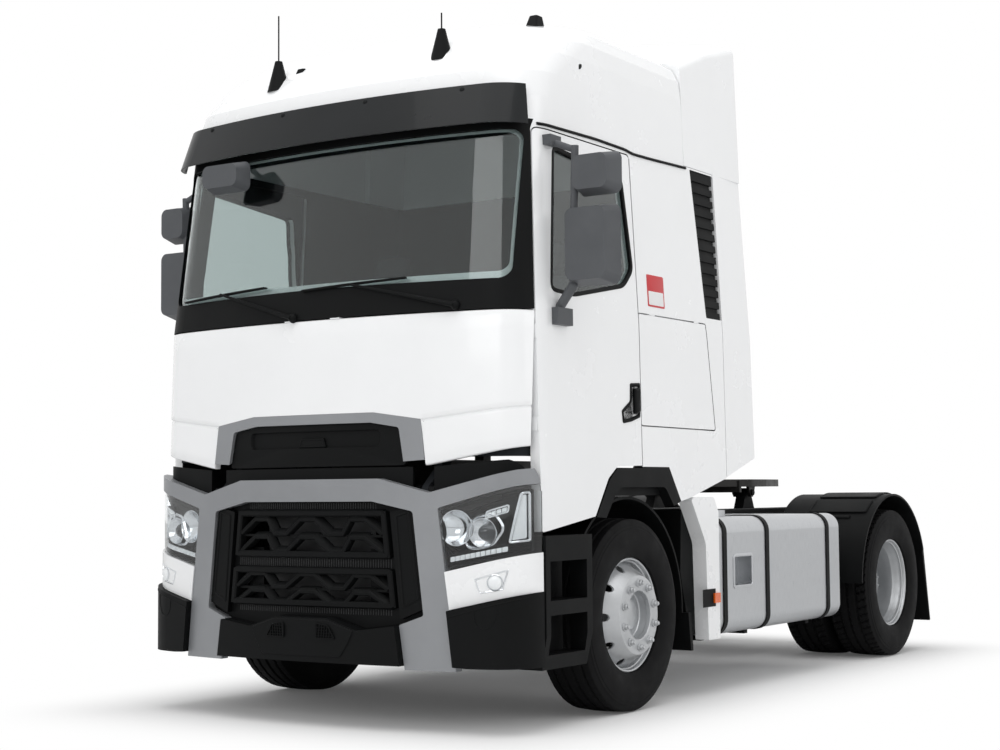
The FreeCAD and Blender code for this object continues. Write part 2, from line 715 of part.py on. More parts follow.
doorOutline = [
    (-S.doorFront, S.skirtBottom + 5, 12), (-S.archFront, S.archFoot, 10),
    (-S.archFront + 140, S.archTop - 62, 60), (-S.archFront + 235, S.archTop, 40),
    (S.doorBack, S.archTop + 6, 6), (S.doorBack, S.doorTop, 30),
    (-S.doorFront + 76, S.doorTop, 30), (-S.doorFront, S.cowlHeight, 200),
]
windowOutline = [
    (-722, 2880, 40), (-40, 2815, 50), (22, 2330, 40), (-80, 2235, 90), (-600, 2140, 60),
    (-812, 2150, 30),
]
trimOutline = [
    (-S.archFront + 12, S.archFoot - 4), (-S.archFront + 152, S.archTop - 70, 60),
    (-S.archFront + 240, S.archTop - S.seam, 40), (S.doorBack + S.seam, S.archTop - S.seam),
    (S.doorBack + S.seam, S.archTop - S.seatGap), (S.archBack - 130 - S.seatGap, S.archTop - S.seatGap),
    (S.archBack - S.seatGap, S.archFoot + 68 - S.seatGap), (S.archBack - 84, S.archFoot + 42, 6),
    (S.archBack - 180, S.archTop - 108, 60), (-S.archFront + 280, S.archTop - 108, 50),
    (-S.archFront + 205, S.archTop - 150, 40), (-S.archFront + 110, S.archFoot - 10),
]
lockerOutline = [
    (S.doorBack + S.seam, 1505, 12), (S.doorBack + S.seam, S.lockerTop, 12),
    (845, S.lockerTop, 12), (930, 1500, 12),
]
louvreOutline = [(772, 2990, 6), (S.cabBack + 20, 2990), (S.cabBack + 20, 2140), (866, 2140, 10)]
glassOutline = mirrorPoints([
    (0, 2200), (S.screenHalf, 2192, 60), (S.screenHalf, 2945, 60), (0, 2945),
])
archOuter = mirrorPoints([
    (0, S.flapBottom - 20), (692, S.flapBottom - 20), (664, 1516, 12), (392, 1556, 30), (0, 1556),
])
archInner = mirrorPoints([
    (0, S.flapBottom - 20), (578, S.flapBottom - 20), (541, 1479, 20), (374, 1506, 30), (0, 1506),
])


def grown(points, by, x0, x1):
    wire = outline(points, lambda p: V(x0, frontAxle + p.x, p.y))
    return Part.Face(wire.makeOffset2D(by, 2)).extrude(V(x1 - x0, 0, 0))


def tiltGuard(radius):
    at = V(-2000, frontAxle - S.pivotAhead, S.pivotHeight)
    return rod(radius, at, at + V(4000, 0, 0))


layers = {}


def layer(outer, inner):
    key = (outer, inner)
    if key not in layers:
        layers[key] = cabLayer(outer, inner)
    return layers[key].copy()


farLeft = 1400
doorSlot = grown(doorOutline, S.seam, 900, farLeft)
cowlLow = S.cowlHeight - S.seam / 2
cowlHigh = S.cowlHeight + S.seam / 2


def aheadOfDoors(low):
    # Everything ahead of the doors' front seam, up to the roof joint.
    points = [(-S.doorFront - S.seam, cowlHigh), (-S.doorFront + 76 - S.seam, S.doorTop),
              (-S.doorFront + 90, S.browHeight), (-1400, S.browHeight), (-1400, low)]
    if low < cowlHigh:
        points.append((-S.doorFront - S.seam, low))
    return sideSlab(points, -1400, 1400)


def makeFlap():
    flap = layer(0, S.flapWall)
    reach = sideSlab([(-1400, 1200), (-S.doorFront - S.seam, 1200),
                      (-S.doorFront - S.seam, cowlLow), (-1400, cowlLow)], -1400, 1400)
    front = frontSlab(mirrorPoints([(0, S.flapBottom), (700, S.flapBottom, 40),
                                    (1300, S.flapBottom + 92), (1300, 2100), (0, 2100)]),
                      frontAxle - 1400, frontAxle)
    panel = flap.common(reach).common(front).cut(tiltGuard(S.tiltClear))
    archHole = frontSlab(archOuter, frontAxle - 1400, frontAxle)
    innerHole = frontSlab(archInner, frontAxle - 1400, frontAxle)
    feature("front_flap", panel.cut(archHole))
    feature("flap_arch", panel.common(archHole).cut(innerHole))
    mesh = panel.common(innerHole).cut(cabLayer(0, 16))
    # A long shallow recess with a handle standing in its middle.
    deep = frontAxle - 1400
    recess = cabLayer(0, 32).common(frontSlab([(-428, 1386, 30), (428, 1386, 30), (428, 1472, 30),
                                               (-428, 1472, 30)], deep, frontAxle))
    handle = frontSlab([(-92, 1380), (92, 1380), (74, 1438, 6), (-74, 1438, 6)], deep, frontAxle)
    feature("flap_grille", mesh.cut(recess.cut(handle)))


def pinOnFlap(x):
    # Pin in the seam above the flap, on a lug that reaches back to the firewall.
    noseY = frontAxle - S.cowlNose
    pin = rod(S.seam / 2 - S.runningGap, V(x - 30, noseY, S.cowlHeight), V(x + 30, noseY, S.cowlHeight))
    half = S.seam / 2 - S.runningGap
    lug = box(x - 30, x + 30, noseY, noseY + S.firewallDepth + 20, S.cowlHeight - half, S.cowlHeight + half)
    return pin.fuse(lug)


hingeY = frontAxle - S.doorFront - S.seam / 2
hingeLowX = skinX(S.doorFront + S.seam / 2, S.cabNose, S.cabHalf, 0)
hingeTopX = skinX(S.doorFront + S.seam / 2, S.cowlNose, S.cowlHalf, 0)


def hingeX(height):
    share = (height - S.skirtBottom) / (S.cowlHeight - S.skirtBottom)
    return hingeLowX + (hingeTopX - hingeLowX) * share


def pinOnDoor(height):
    half = S.seam / 2 - S.runningGap
    low = V(hingeX(height), hingeY, height)
    top = V(hingeX(height + 70), hingeY, height + 70)
    lug = box(hingeX(height) - S.firewallDepth - 30, hingeX(height) - 4, hingeY - half, hingeY + half,
              height, height + 70)
    return rod(half, low, top).fuse(lug)


lockerX = S.cowlHalf + (S.browHalf - S.cowlHalf) * (
    (S.lockerTop + S.seam / 2 - S.cowlHeight) / (S.browHeight - S.cowlHeight))


def pinOnLocker(behind):
    half = S.seam / 2 - S.runningGap
    z = S.lockerTop + S.seam / 2
    y = frontAxle + behind
    lug = box(lockerX - 22, lockerX - 1, y, y + 60, z - half, z + half + 3)
    return rod(half, V(lockerX, y, z), V(lockerX, y + 60, z)).fuse(lug)


def makeCabShell():
    wall = S.cabWall
    shell = layer(0, wall)
    inside = cabBlock(wall)
    # Sides stop at the arch; ahead of the doors only the firewall and pillars stay.
    below = sideSlab([(-1500, 800), (-1500, S.archTop), (S.archBack - 130, S.archTop),
                      (S.archBack, S.archFoot + 68), (S.archBack + 100, S.archFoot + 84),
                      (S.cabBack, 1225), (S.cabBack + 40, 1225), (S.cabBack + 40, 800)], -1400, 1400)
    shell = shell.cut(aheadOfDoors(900)).cut(below)
    floor = inside.common(box(-1300, 1300, -4000, 4000, S.floorTop - S.floorWall, S.floorTop))
    firewall = cabLayer(S.firewallDepth, S.firewallDepth + 48).common(
        sideSlab([(-1400, S.floorTop - S.floorWall - 70), (-870, S.floorTop - S.floorWall - 70),
                  (-870, 2100), (-800, S.browHeight), (-1400, S.browHeight)], -1400, 1400))
    screenHole = frontSlab([(p[0] * 0.97, 2230 + (p[1] - 2192) * 0.93, 50) for p in glassOutline
                            if p[0] != 0], frontAxle - 1400, frontAxle - 700)
    pillars = cabLayer(S.bandDepth + S.seatGap, S.firewallDepth).common(aheadOfDoors(cowlHigh))
    pillars = pillars.cut(doorSlot).cut(mirrored(doorSlot)).cut(screenHole)
    firewall = firewall.cut(screenHole)
    hollowUnder = box(-(S.cabHalf - wall), S.cabHalf - wall, frontAxle - 870, frontAxle + S.cabBack + 50,
                      700, S.floorTop - S.floorWall)
    shell = shell.cut(hollowUnder)
    doorHole = doorSlot.common(box(900, farLeft, -5000, 5000, 800, 4000))
    lid = grown(lockerOutline, S.seam, 900, farLeft)
    rebate = layer(0, S.lockerWall + 6).common(lid)
    lockerHole = sideSlab([(S.doorBack + 60, 1535, 20), (S.doorBack + 60, S.lockerTop - 30, 20),
                           (815, S.lockerTop - 30, 20), (880, 1535, 20)], 900, farLeft)
    louvre = layer(0, 26).common(sideSlab(louvreOutline, 900, farLeft))
    for cutter in (doorHole, rebate, lockerHole, louvre):
        shell = shell.cut(cutter).cut(mirrored(cutter))
    # Arms down to the cab's pivot pin.
    pivotY = frontAxle - S.pivotAhead
    arm = sideSlab([(-1020, S.floorTop - 40), (-1020, S.pivotHeight + 126, 20),
                    (-S.pivotAhead - 16, S.pivotHeight + 26, 20), (-S.pivotAhead - 34, S.pivotHeight - 12, 30),
                    (-S.pivotAhead + 34, S.pivotHeight - 36, 30), (-930, S.floorTop - 130, 30),
                    (-930, S.floorTop - 40)],
                   S.pivotHalf - 20, S.pivotHalf + 20)
    arm = arm.cut(rod(S.pivotRadius + S.runningGap, V(0, pivotY, S.pivotHeight),
                      V(2000, pivotY, S.pivotHeight)))
    arms = [arm, mirrored(arm)]
    pins = [pinOnFlap(-150), pinOnFlap(150)]
    for height in (1450, 1900):
        pins.append(pinOnDoor(height))
        pins.append(mirrored(pinOnDoor(height)))
    for behind in (180, 700):
        pins.append(pinOnLocker(behind))
        pins.append(mirrored(pinOnLocker(behind)))
    feature("cab_shell", joined([shell, floor, firewall, pillars] + arms + pins))


def makeScreen():
    band = cabLayer(0, S.bandDepth).common(aheadOfDoors(cowlHigh))
    hole = frontSlab(glassOutline, frontAxle - 1400, frontAxle - 700)
    band = band.cut(hole).cut(doorSlot).cut(mirrored(doorSlot))
    feature("windscreen_surround", band)
    glass = cabLayer(S.glassDepth, S.glassDepth + S.glassWall).common(aheadOfDoors(cowlHigh)).common(hole)
    feature("windscreen", glass)


def makeDoors():
    skin = layer(0, S.doorWall)
    shape = skin.common(sideSlab(doorOutline, 900, farLeft))
    window = sideSlab(windowOutline, 900, farLeft)
    # The rear shut face leans in so that the door clears its pillar as it swings.
    edge = frontAxle + S.doorBack
    lean = planSlab([(1230, edge), (1230, edge + 30), (980, edge + 30), (980, edge - 15)], 800, 3100)
    shape = shape.cut(lean)
    glass = cabLayer(S.glassDepth, S.glassDepth + S.glassWall).common(window)
    door = shape.cut(window)
    feature("door_left", door)
    feature("door_right", mirrored(door))
    feature("door_glass_left", glass)
    feature("door_glass_right", mirrored(glass))


def makeLockers():
    lid = layer(0, S.lockerWall).common(sideSlab(lockerOutline, 900, farLeft))
    feature("locker_left", lid)
    feature("locker_right", mirrored(lid))


def roofBlock(inset, behind):
    # Level sections of the roof: drop below its top, nose ahead of the front axle, half width
    # and plan corner. Its front leans back and its shoulders round over to a low crown.
    levels = (
        (S.roofHeight - S.browHeight, S.browNose, S.browHalf, S.cornerRadius),
        (565, S.browNose - 10, S.browHalf - 3, 270), (430, S.browNose - 38, S.browHalf - 7, 330),
        (305, S.browNose - 125, S.browHalf - 13, 420), (205, S.browNose - 235, S.browHalf - 26, 480),
        (128, S.browNose - 370, S.browHalf - 66, 500), (74, S.browNose - 525, S.browHalf - 150, 500),
        (46, S.browNose - 660, S.browHalf - 260, 460), (22, S.browNose - 890, S.browHalf - 520, 360),
        (5, S.browNose - 1240, S.browHalf - 850, 240),
    )
    back = frontAxle + behind
    rise = S.roofHeight - S.browHeight
    wires = []
    for drop, nose, half, corner in levels:
        height = S.browHeight + (rise - drop) * (rise - inset) / rise
        wires.append(planWire(nose, half, inset, height, back, corner))
    return Part.makeLoft(wires, True, True)


def makeRoof():
    outer = roofBlock(0, S.roofBack)
    rear = roofBlock(S.fairingWall + 8, S.cabBack)
    inner = roofBlock(S.fairingWall + 8 + S.roofWall, S.cabBack - S.roofWall)
    front = roofBlock(S.roofWall, S.roofBack - S.roofWall)
    feature("cab_roof", joined([outer, rear]).cut(inner).cut(front))


def makeVisor():
    low = S.browHeight - 40
    high = S.browHeight + 172
    back = frontAxle
    def block(inset, top):
        share = (top - low) / (high - low)
        return Part.makeLoft([
            planWire(S.browNose + 105, S.browHalf + 12, inset, low, back),
            planWire(S.browNose + 105 - 78 * share, S.browHalf + 12 - 22 * share, inset, top, back),
        ], True, True)
    shade = block(0, high).cut(block(13, high - 13))
    ends = sideSlab([(-1400, 2900), (-945, 2900), (-892, high + 20), (-1400, high + 20)], -1400, 1400)
    body = roofBlock(0, S.roofBack)
    shade = shade.common(ends).cut(body).cut(cabBlock(0))
    solid = max(shade.Solids, key=lambda item: item.Volume)
    feature("sun_visor", solid)


def capWire(behind, half, crown, inset, base):
    # Rear view section: straight sides, tight shoulders and a crowned top.
    y = frontAxle + behind
    foot = half - inset
    rise = crown - inset
    shoulder = rise - S.deflectorDrop
    lean = foot - 0.03 * (shoulder - S.browHeight)
    a = V(lean, y, shoulder - 45)
    b = V(lean - 12, y, shoulder - 12)
    c = V(lean - 46, y, shoulder + 6)
    return Part.Wire([
        Part.LineSegment(V(-foot, y, base), V(foot, y, base)).toShape(),
        Part.LineSegment(V(foot, y, base), a).toShape(),
        Part.Arc(a, b, c).toShape(),
        Part.Arc(c, V(0, y, rise), flip(c)).toShape(),
        Part.Arc(flip(c), flip(b), flip(a)).toShape(),
        Part.LineSegment(flip(a), V(-foot, y, base)).toShape(),
    ])


def makeDeflectors():
    wall = S.fairingWall
    top = S.deflectorTop

    def cap(inset, first, last, base):
        spots = ((first, top - 250), (0.55 * first + 0.45 * last, top - 115), (last, top))
        wires = [capWire(at, S.browHalf - 2, crown, inset, base) for at, crown in spots]
        return Part.makeLoft(wires, True, True)

    hood = cap(0, S.roofBack + S.seam, S.fairingBack - 10, S.browHeight + 4)
    hood = hood.cut(cap(wall, S.roofBack - 20, S.fairingBack + 20, S.browHeight - 4))
    hood = hood.cut(roofBlock(wall, S.cabBack))
    side = cabWidePanel()
    brackets = []
    for z in (1500, 2200, 2900):
        at = sideX(z)
        brackets.append(box(at - 110, at - wall + 2, frontAxle + S.cabBack, frontAxle + S.cabBack + 60, z, z + 40))
    pieces = [hood, side, mirrored(side)]
    for item in brackets:
        pieces += [item, mirrored(item)]
    feature("air_deflectors", joined(pieces))


def sideX(z):
    if z < S.cowlHeight:
        share = (z - S.skirtBottom) / (S.cowlHeight - S.skirtBottom)
        return S.cabHalf + (S.cowlHalf - S.cabHalf) * share
    share = (z - S.cowlHeight) / (S.browHeight - S.cowlHeight)
    return S.cowlHalf + (S.browHalf - S.cowlHalf) * share


def cabWidePanel():
    # Side fairing behind the cab, in line with the cab's side.
    wall = S.fairingWall
    y0 = frontAxle + S.cabBack + S.seam
    y1 = frontAxle + S.fairingBack + 60
    wires = []
    for z in (1100, S.cowlHeight, S.browHeight + 60):
        x = sideX(z)
        wires.append(Part.makePolygon([V(x - wall, y0, z), V(x, y0, z), V(x - 12, y1, z),
                                       V(x - 12 - wall, y1, z), V(x - wall, y0, z)]))
    panel = Part.makeLoft(wires, True, True)
    form = sideSlab([(S.cabBack - 20, 1225), (S.fairingBack + 28, 1345, 20),
                     (S.fairingBack - 10, S.browHeight + 60), (S.cabBack - 20, S.browHeight + 60)],
                    1000, 1400)
    return panel.common(form)


def makeTrims():
    arch = layer(0, S.cabWall).common(sideSlab(trimOutline, 900, farLeft))
    # A lip inside the arch hides the cab's underside above the tyre.
    lip = sideSlab([(-250, 1132), (340, 1132), (310, S.archTop - 90), (-220, S.archTop - 90)], 1157, 1166)
    arch = joined([arch, lip])
    louvre = cabLayer(6, 26).common(sideSlab(louvreOutline, 900, farLeft))
    slats = []
    for step in range(12):
        z = 2180 + 66 * step
        slats.append(sideSlab([(700, z), (1100, z), (1100, z + 26), (700, z + 26)], 900, farLeft))
    louvre = louvre.cut(Part.makeCompound(slats).common(cabLayer(0, 16)))
    pieces = []
    for piece in (arch, louvre):
        pieces += [piece, mirrored(piece)]
    feature("side_trims", Part.makeCompound(pieces))


makeFlap()
makeCabShell()
makeScreen()
makeDoors()
makeLockers()
makeRoof()
makeVisor()
makeDeflectors()
makeTrims()


# What the cab carries outside

def ball(radius, at):
    return Part.makeSphere(radius, at)


def mirrorHousing(x0, x1, z0, z1, y0, y1):
    # Lofted shell, smaller at its back, with rounded corners.
    face = outline([(x0, z0, 40), (x1, z0, 40), (x1, z1, 40), (x0, z1, 40)], lambda p: V(p.x, y0, p.y))
    back = outline([(x0 + 20, z0 + 20, 40), (x1 - 26, z0 + 20, 40), (x1 - 26, z1 - 20, 40),
                    (x0 + 20, z1 - 20, 40)], lambda p: V(p.x, y1, p.y))
    return Part.makeLoft([back, face], True, True)


def doorMirror(inward):
    y = frontAxle - 700
    main = mirrorHousing(1262 - inward / 2, 1530 - inward, 2165, 2560, y, y - 120)
    wide = mirrorHousing(1300 - inward / 2, 1540 - inward, 2610, 2820, y, y - 110)
    post = rod(19, V(1290, y - 60, 2150), V(1310, y - 60, 2860))
    high = joined([rod(17, V(1306, y - 60, 2840), V(1150, y - 60, 2905)), ball(19, V(1306, y - 60, 2843))])
    low = joined([rod(24, V(1290, y - 60, 2165), V(1186, y - 60, 2030)), ball(24, V(1290, y - 60, 2165))])
    foot = box(1150, 1240, y - 120, y + 20, 1975, 2060)
    top = box(1120, 1200, y - 110, y - 10, 2875, 2925)
    whole = joined([main, wide, post, high, low, foot, top]).cut(cabBlock(0))
    return max(whole.Solids, key=lambda item: item.Volume)


def makeMirrors():
    feature("mirror_left", doorMirror(0))
    feature("mirror_right", mirrored(doorMirror(60)))
    # Kerb mirror under the visor, on an arm from the head of the windscreen's surround.
    y = frontAxle - 1196
    shell = mirrorHousing(457, 744, 2762, 2922, y + 34, y - 56)
    arm = rod(15, V(600, y, 2900), V(600, frontAxle - 950, 2950))
    whole = joined([mirrored(shell), mirrored(arm)]).cut(cabBlock(0)).cut(parts["sun_visor"].Shape)
    feature("kerb_mirror", max(whole.Solids, key=lambda item: item.Volume))


# Middle and foot of each aerial (across, behind the front axle, height, mast) and of each fin.
aerials = ((600, -890, 3416, 195), (-460, -930, 3393, 362))
fins = ((850, -400, 3587), (-340, -880, 3375))


def makeRoofFittings():
    # Two aerials, a horn and a lamp housing, each set into the roof's slope.
    pieces = []
    body = roofBlock(0, S.roofBack)
    for x, behind, foot, mast in aerials:
        at = V(x, frontAxle + behind, foot)
        base = Part.makeCone(62, 20, 170, at - V(0, 0, 60))
        pieces.append(base.fuse(rod(4, at + V(0, 0, 90), at + V(0, 0, mast))))
    for x, behind, foot in fins:
        y = frontAxle + behind
        pieces.append(Part.makeLoft([
            outline([(x - 52, y - 70, 20), (x + 52, y - 70, 20), (x + 52, y + 70, 20), (x - 52, y + 70, 20)],
                    lambda p: V(p.x, p.y, foot - 60)),
            outline([(x - 24, y - 10, 10), (x + 24, y - 10, 10), (x + 24, y + 52, 10), (x - 24, y + 52, 10)],
                    lambda p: V(p.x, p.y, foot + 80)),
        ], True, True))
    pieces = [piece.cut(body) for piece in pieces]
    pieces = [max(piece.Solids, key=lambda item: item.Volume) for piece in pieces]
    feature("roof_fittings", Part.makeCompound(pieces))


makeMirrors()
makeRoofFittings()


# Inside the cab

def makeInterior():
    inside = cabBlock(S.firewallDepth + 48.5)
    dash = sideSlab([(-1180, 1900), (-1180, 2130), (-1000, 2150, 40), (-700, 2090, 60),
                     (-620, 1960, 40), (-700, 1850, 60), (-900, 1800, 60)], -1080, 1080)
    console = sideSlab([(-1180, S.floorTop), (-1180, 1920), (-760, 1920, 40), (-800, S.floorTop)], -220, 220)
    feature("dashboard", joined([dash, console]).common(inside))
    hub = V(520, frontAxle - 560, 2010)
    lean = V(0, 0.5, 0.87).normalize()
    rimWire = [V(225 + 16 * math.cos(math.pi * step / 4), 0, 16 * math.sin(math.pi * step / 4))
               for step in range(9)]
    ring = Part.Face(Part.makePolygon(rimWire)).revolve(V(0, 0, 0), V(0, 0, 1), 360)
    ring.Placement = FreeCAD.Placement(hub, FreeCAD.Rotation(V(0, 0, 1), lean))
    spokes = [rod(12, hub - lean * 30, hub + V(x, 0, 0)) for x in (-225, 225)]
    column = rod(34, hub + lean * 10, hub - lean * 250)
    feature("steering_wheel", joined([ring, column] + spokes).cut(dash))
    seats = []
    for x in (540, -540):
        profile = sideSlab([
            (-360, S.floorTop, 0), (-360, 1700, 30), (-430, 1740, 40), (-430, 1850, 50),
            (60, 1830, 60), (130, 2360, 40), (90, 2420, 30), (95, 2590, 40), (175, 2590, 40),
            (205, 2330, 60), (190, 1760, 60), (60, 1700, 30), (60, S.floorTop, 0),
        ], x - 255, x + 255)
        seats.append(profile)
    feature("seats", Part.makeCompound(seats))
    rear = S.cabBack - S.cabWall
    half = S.cowlHalf - S.cabWall - 22
    shelf = box(-half, half, frontAxle + 300, frontAxle + rear, S.lockerTop + 20, S.lockerTop + 150)
    front = box(-half, half, frontAxle + 300, frontAxle + 325, S.floorTop, S.lockerTop + 30)
    feature("bunk", joined([shelf, front]))


makeInterior()


# Front end below the cab

def frontCut(shape, points):
    return shape.common(frontSlab(points, frontAxle - 1500, frontAxle - 600))


def makeBumper():
    back = frontAxle - S.bumperBack
    wall = S.bumperWall
    # Nothing above the cab's pivot may reach into the doors' path as the cab tilts.
    sweep = box(-2000, 2000, frontAxle - S.pivotAhead, frontAxle, S.pivotHeight, 1400)
    sweep = sweep.cut(tiltGuard(S.tiltKeep))
    bar = noseBand(S.barNose, S.bumperHalf, 0, wall, 280, 1300, back)
    frame = [(0, 1227), (449, 1227, 20), (730, 1156, 40), (1160, 1262), (1320, 1285), (1320, 1212),
             (1160, 1185), (778, 1082, 12), (815, 778), (840, 590), (872, 300), (596, 300),
             (566, 515, 8), (700, 562, 12), (643, 1066, 20), (413, 1115, 20), (0, 1115)]
    surround = frontCut(bar, mirrorPoints(frame)).cut(sweep)
    feature("front_surround", surround)

    near = S.seatGap
    lampHalf = [(1330, 1208), (1160, 1183), (778 + near, 1082 - 2 * near, 12 + near), (815 + near, 778 + 2 * near),
                (1330, 892)]
    lens = frontCut(noseBand(S.barNose - 8, S.bumperHalf - 3, 0, 6, 700, 1300, back), lampHalf).cut(sweep)
    pan = frontCut(noseBand(S.barNose - 8, S.bumperHalf - 3, 6, 95, 700, 1300, back), lampHalf).cut(sweep)
    hollow = [(1140, 1160, 10), (800, 1066, 10), (834, 800, 10), (1140, 868, 10)]
    cavity = frontCut(noseBand(S.barNose - 8, S.bumperHalf - 3, 0, 78, 700, 1300, back + 300), hollow)
    pan = pan.cut(cavity)
    feature("lamp_lenses", both(lens))
    feature("lamp_units", both(pan))

    white = noseBand(S.barNose + 6, S.bumperHalf, 0, wall, 500, 1000, back)
    fog = [(1330, 890), (815.6 + near, 775), (840 + near, 594), (1330, 702)]
    feature("bumper_corners", both(frontCut(white, fog)))

    deep = S.frontOverhang - S.barNose + wall - 2 * near
    black = noseBand(S.frontOverhang, S.bumperHalf + 2, 0, deep, S.bumperBottom, 720, back)
    corner = [(1330, 699), (843, 591, 6), (874, S.bumperBottom + 4), (1330, S.bumperBottom - 20)]
    middle = mirrorPoints([(0, S.bumperBottom - 20), (594, S.bumperBottom - 20), (563, 512, 8),
                           (345, 484, 20), (170, 538, 20), (0, 538)])
    pieces = [frontCut(black, corner), frontCut(black, middle)]
    pieces.insert(1, mirrored(pieces[0]))
    feature("bumper_lower", Part.makeCompound(pieces))


def zigzag(half, thick):
    # Front view of a rib that runs up and down across the grille: half is its upper line from
    # the first corner right of the centre line outwards.
    line = [(-across, up) for across, up in reversed(half)] + list(half)
    return frontSlab(line + [(across, up - thick) for across, up in reversed(line)],
                     frontAxle - 1500, frontAxle - 900)


def ringSlab(outer, inner):
    return frontSlab(mirrorPoints(outer), frontAxle - 1500, frontAxle - 900).cut(
        frontSlab(mirrorPoints(inner), frontAxle - 1500, frontAxle - 900))


# Each tray: outer and inner edges as (half width, height), then the rows of its zigzag ribs as
# (peaks' height, valleys' height), the ribs' corners from the centre outwards, and its shelf.
trays = (
    ([(480, 1068), (505, 840)], [(452, 1048), (474, 858)], ((1040, 962), (950, 872)),
     (48, 140, 222, 268, 358, 470), 950),
    ([(517, 776), (537, 596)], [(487, 762), (506, 612)], ((772, 692), (682, 608)),
     (50, 146, 230, 290, 386, 500), 682),
)


def makeGrille():
    back = frontAxle - S.bumperBack
    field = mirrorPoints([(0, 1112), (411, 1112, 20), (639, 1063, 16), (695, 566, 10),
                          (564, 520, 8), (346, 490, 16), (172, 544, 16), (0, 544)])

    def relief(first, last):
        return noseBand(S.barNose - 14, S.bumperHalf, first, last, 400, 1250, back)

    fieldSlab = frontSlab(field, frontAxle - 1500, frontAxle - 600)
    plate = relief(S.grilleDepth - 14, S.grilleDepth).common(fieldSlab)
    frames = []
    ribs = []
    shelves = []
    for outer, inner, rows, corners, shelf in trays:
        opening = [(0, inner[0][1])] + inner + [(0, inner[1][1])]
        edge = [(0, outer[0][1])] + outer + [(0, outer[1][1])]
        plate = plate.cut(frontSlab(mirrorPoints(opening), frontAxle - 1500, frontAxle - 600))
        frames.append(ringSlab(edge, opening))
        for high, low in rows:
            heights = (high, low, low, high, high, low)
            ribs.append(zigzag(list(zip(corners, heights)), 13))
        reach = inner[1][0]
        shelves.append(frontSlab([(-reach, shelf - 12), (reach, shelf - 12), (reach, shelf), (-reach, shelf)],
                                 frontAxle - 1500, frontAxle - 900))
    cheek = frontSlab([(508, 1062, 6), (628, 1092, 6), (704, 598, 6), (562, 540, 6)],
                      frontAxle - 1500, frontAxle - 900)
    cheeks = relief(0, S.grilleDepth).common(fieldSlab).common(both(cheek))
    pieces = [plate, cheeks]
    pieces += [relief(2, S.grilleDepth).common(item) for item in frames]
    pieces += [relief(6, S.grilleDepth - 4).common(item) for item in ribs]
    pieces += [relief(22, S.grilleDepth - 4).common(item) for item in shelves]
    # A flange behind the surround carries the grille.
    rim = outline(field, lambda p: V(p.x, frontAxle - 1500, p.y)).makeOffset2D(15, 2)
    rim = Part.Face(rim).extrude(V(0, 900, 0))
    flange = noseBand(S.barNose, S.bumperHalf, S.bumperWall + S.seatGap,
                      S.grilleDepth + 14, 400, 1250, back).common(rim)
    flange = flange.cut(fieldSlab)
    feature("grille", joined(pieces + [flange]))


def makeApron():
    # Dark panel behind the front bar, up to the flap and inside the path of the tilting cab.
    first = S.bumperWall + S.seatGap
    sweep = box(-2000, 2000, frontAxle - S.pivotAhead, frontAxle, S.pivotHeight, 1400)
    sweep = sweep.cut(tiltGuard(S.tiltKeep))
    wall = noseBand(S.barNose, S.bumperHalf, first, first + S.apronWall, 900, 1400, frontAxle - S.bumperBack)
    armSide = S.pivotHalf - 48
    middle = mirrorPoints([(0, 1283), (armSide, 1283), (armSide, 1095), (428, 1138), (0, 1138)])
    outer = [(S.pivotHalf + 70, 1283), (1100, 1312), (1165, 1312), (1165, 1203), (790, 1103),
             (S.pivotHalf + 70, 1100)]
    wing = frontCut(wall, outer).cut(sweep)
    feature("front_apron", Part.makeCompound([frontCut(wall, middle).cut(sweep), wing, mirrored(wing)]))


def makeFrontBeam():
    # Beam behind the bumper on two arms from the frame rails, with the cab's pivot brackets.
    back = frontAxle - S.bumperBack
    wall = S.bumperWall
    beam = noseBand(S.barNose, S.bumperHalf, wall + S.seatGap, wall + 60, S.beamLow, S.beamHigh, back - 40)
    beam = beam.common(box(-1000, 1000, -5000, 5000, 0, 4000))
    pieces = [beam]
    y0 = frontAxle - S.barNose + wall + 40
    y1 = frontAxle - S.railNose
    lip = S.railHalf - S.railFlange
    for side, word in sides:
        pieces.append(box(*sorted((side * lip, side * S.railHalf)), y0, y1, S.beamLow, railBottom + 200))
    cross = box(-760, 760, y1 + 20, y1 + 110, S.railTop, S.railTop + 70)
    pieces.append(cross)
    pivotY = frontAxle - S.pivotAhead
    for side, word in sides:
        for near in (26, -60):
            x0 = side * S.pivotHalf + near
            ear = sideSlab([(-S.pivotAhead - 32, S.pivotHeight, 20), (-S.pivotAhead - 20, S.pivotHeight + 32, 20),
                            (-S.pivotAhead + 20, S.pivotHeight + 32, 20),
                            (-S.railNose + 110, S.railTop + 70), (-S.railNose + 110, S.railTop + 5),
                            (-S.railNose + 20, S.railTop + 5), (-S.pivotAhead - 32, S.pivotHeight - 50, 20)],
                           x0, x0 + 34)
            pieces.append(ear)
        pieces.append(rod(S.pivotRadius, V(side * S.pivotHalf - 58, pivotY, S.pivotHeight),
                          V(side * S.pivotHalf + 58, pivotY, S.pivotHeight)))
        x0, x1 = sorted((side * (lip + 8), side * S.railHalf))
        pieces.append(box(x0, x1, frontAxle + 880, frontAxle + 960, S.railTop,
                          S.floorTop - S.floorWall - S.runningGap))
    feature("cab_mounts", joined(pieces))


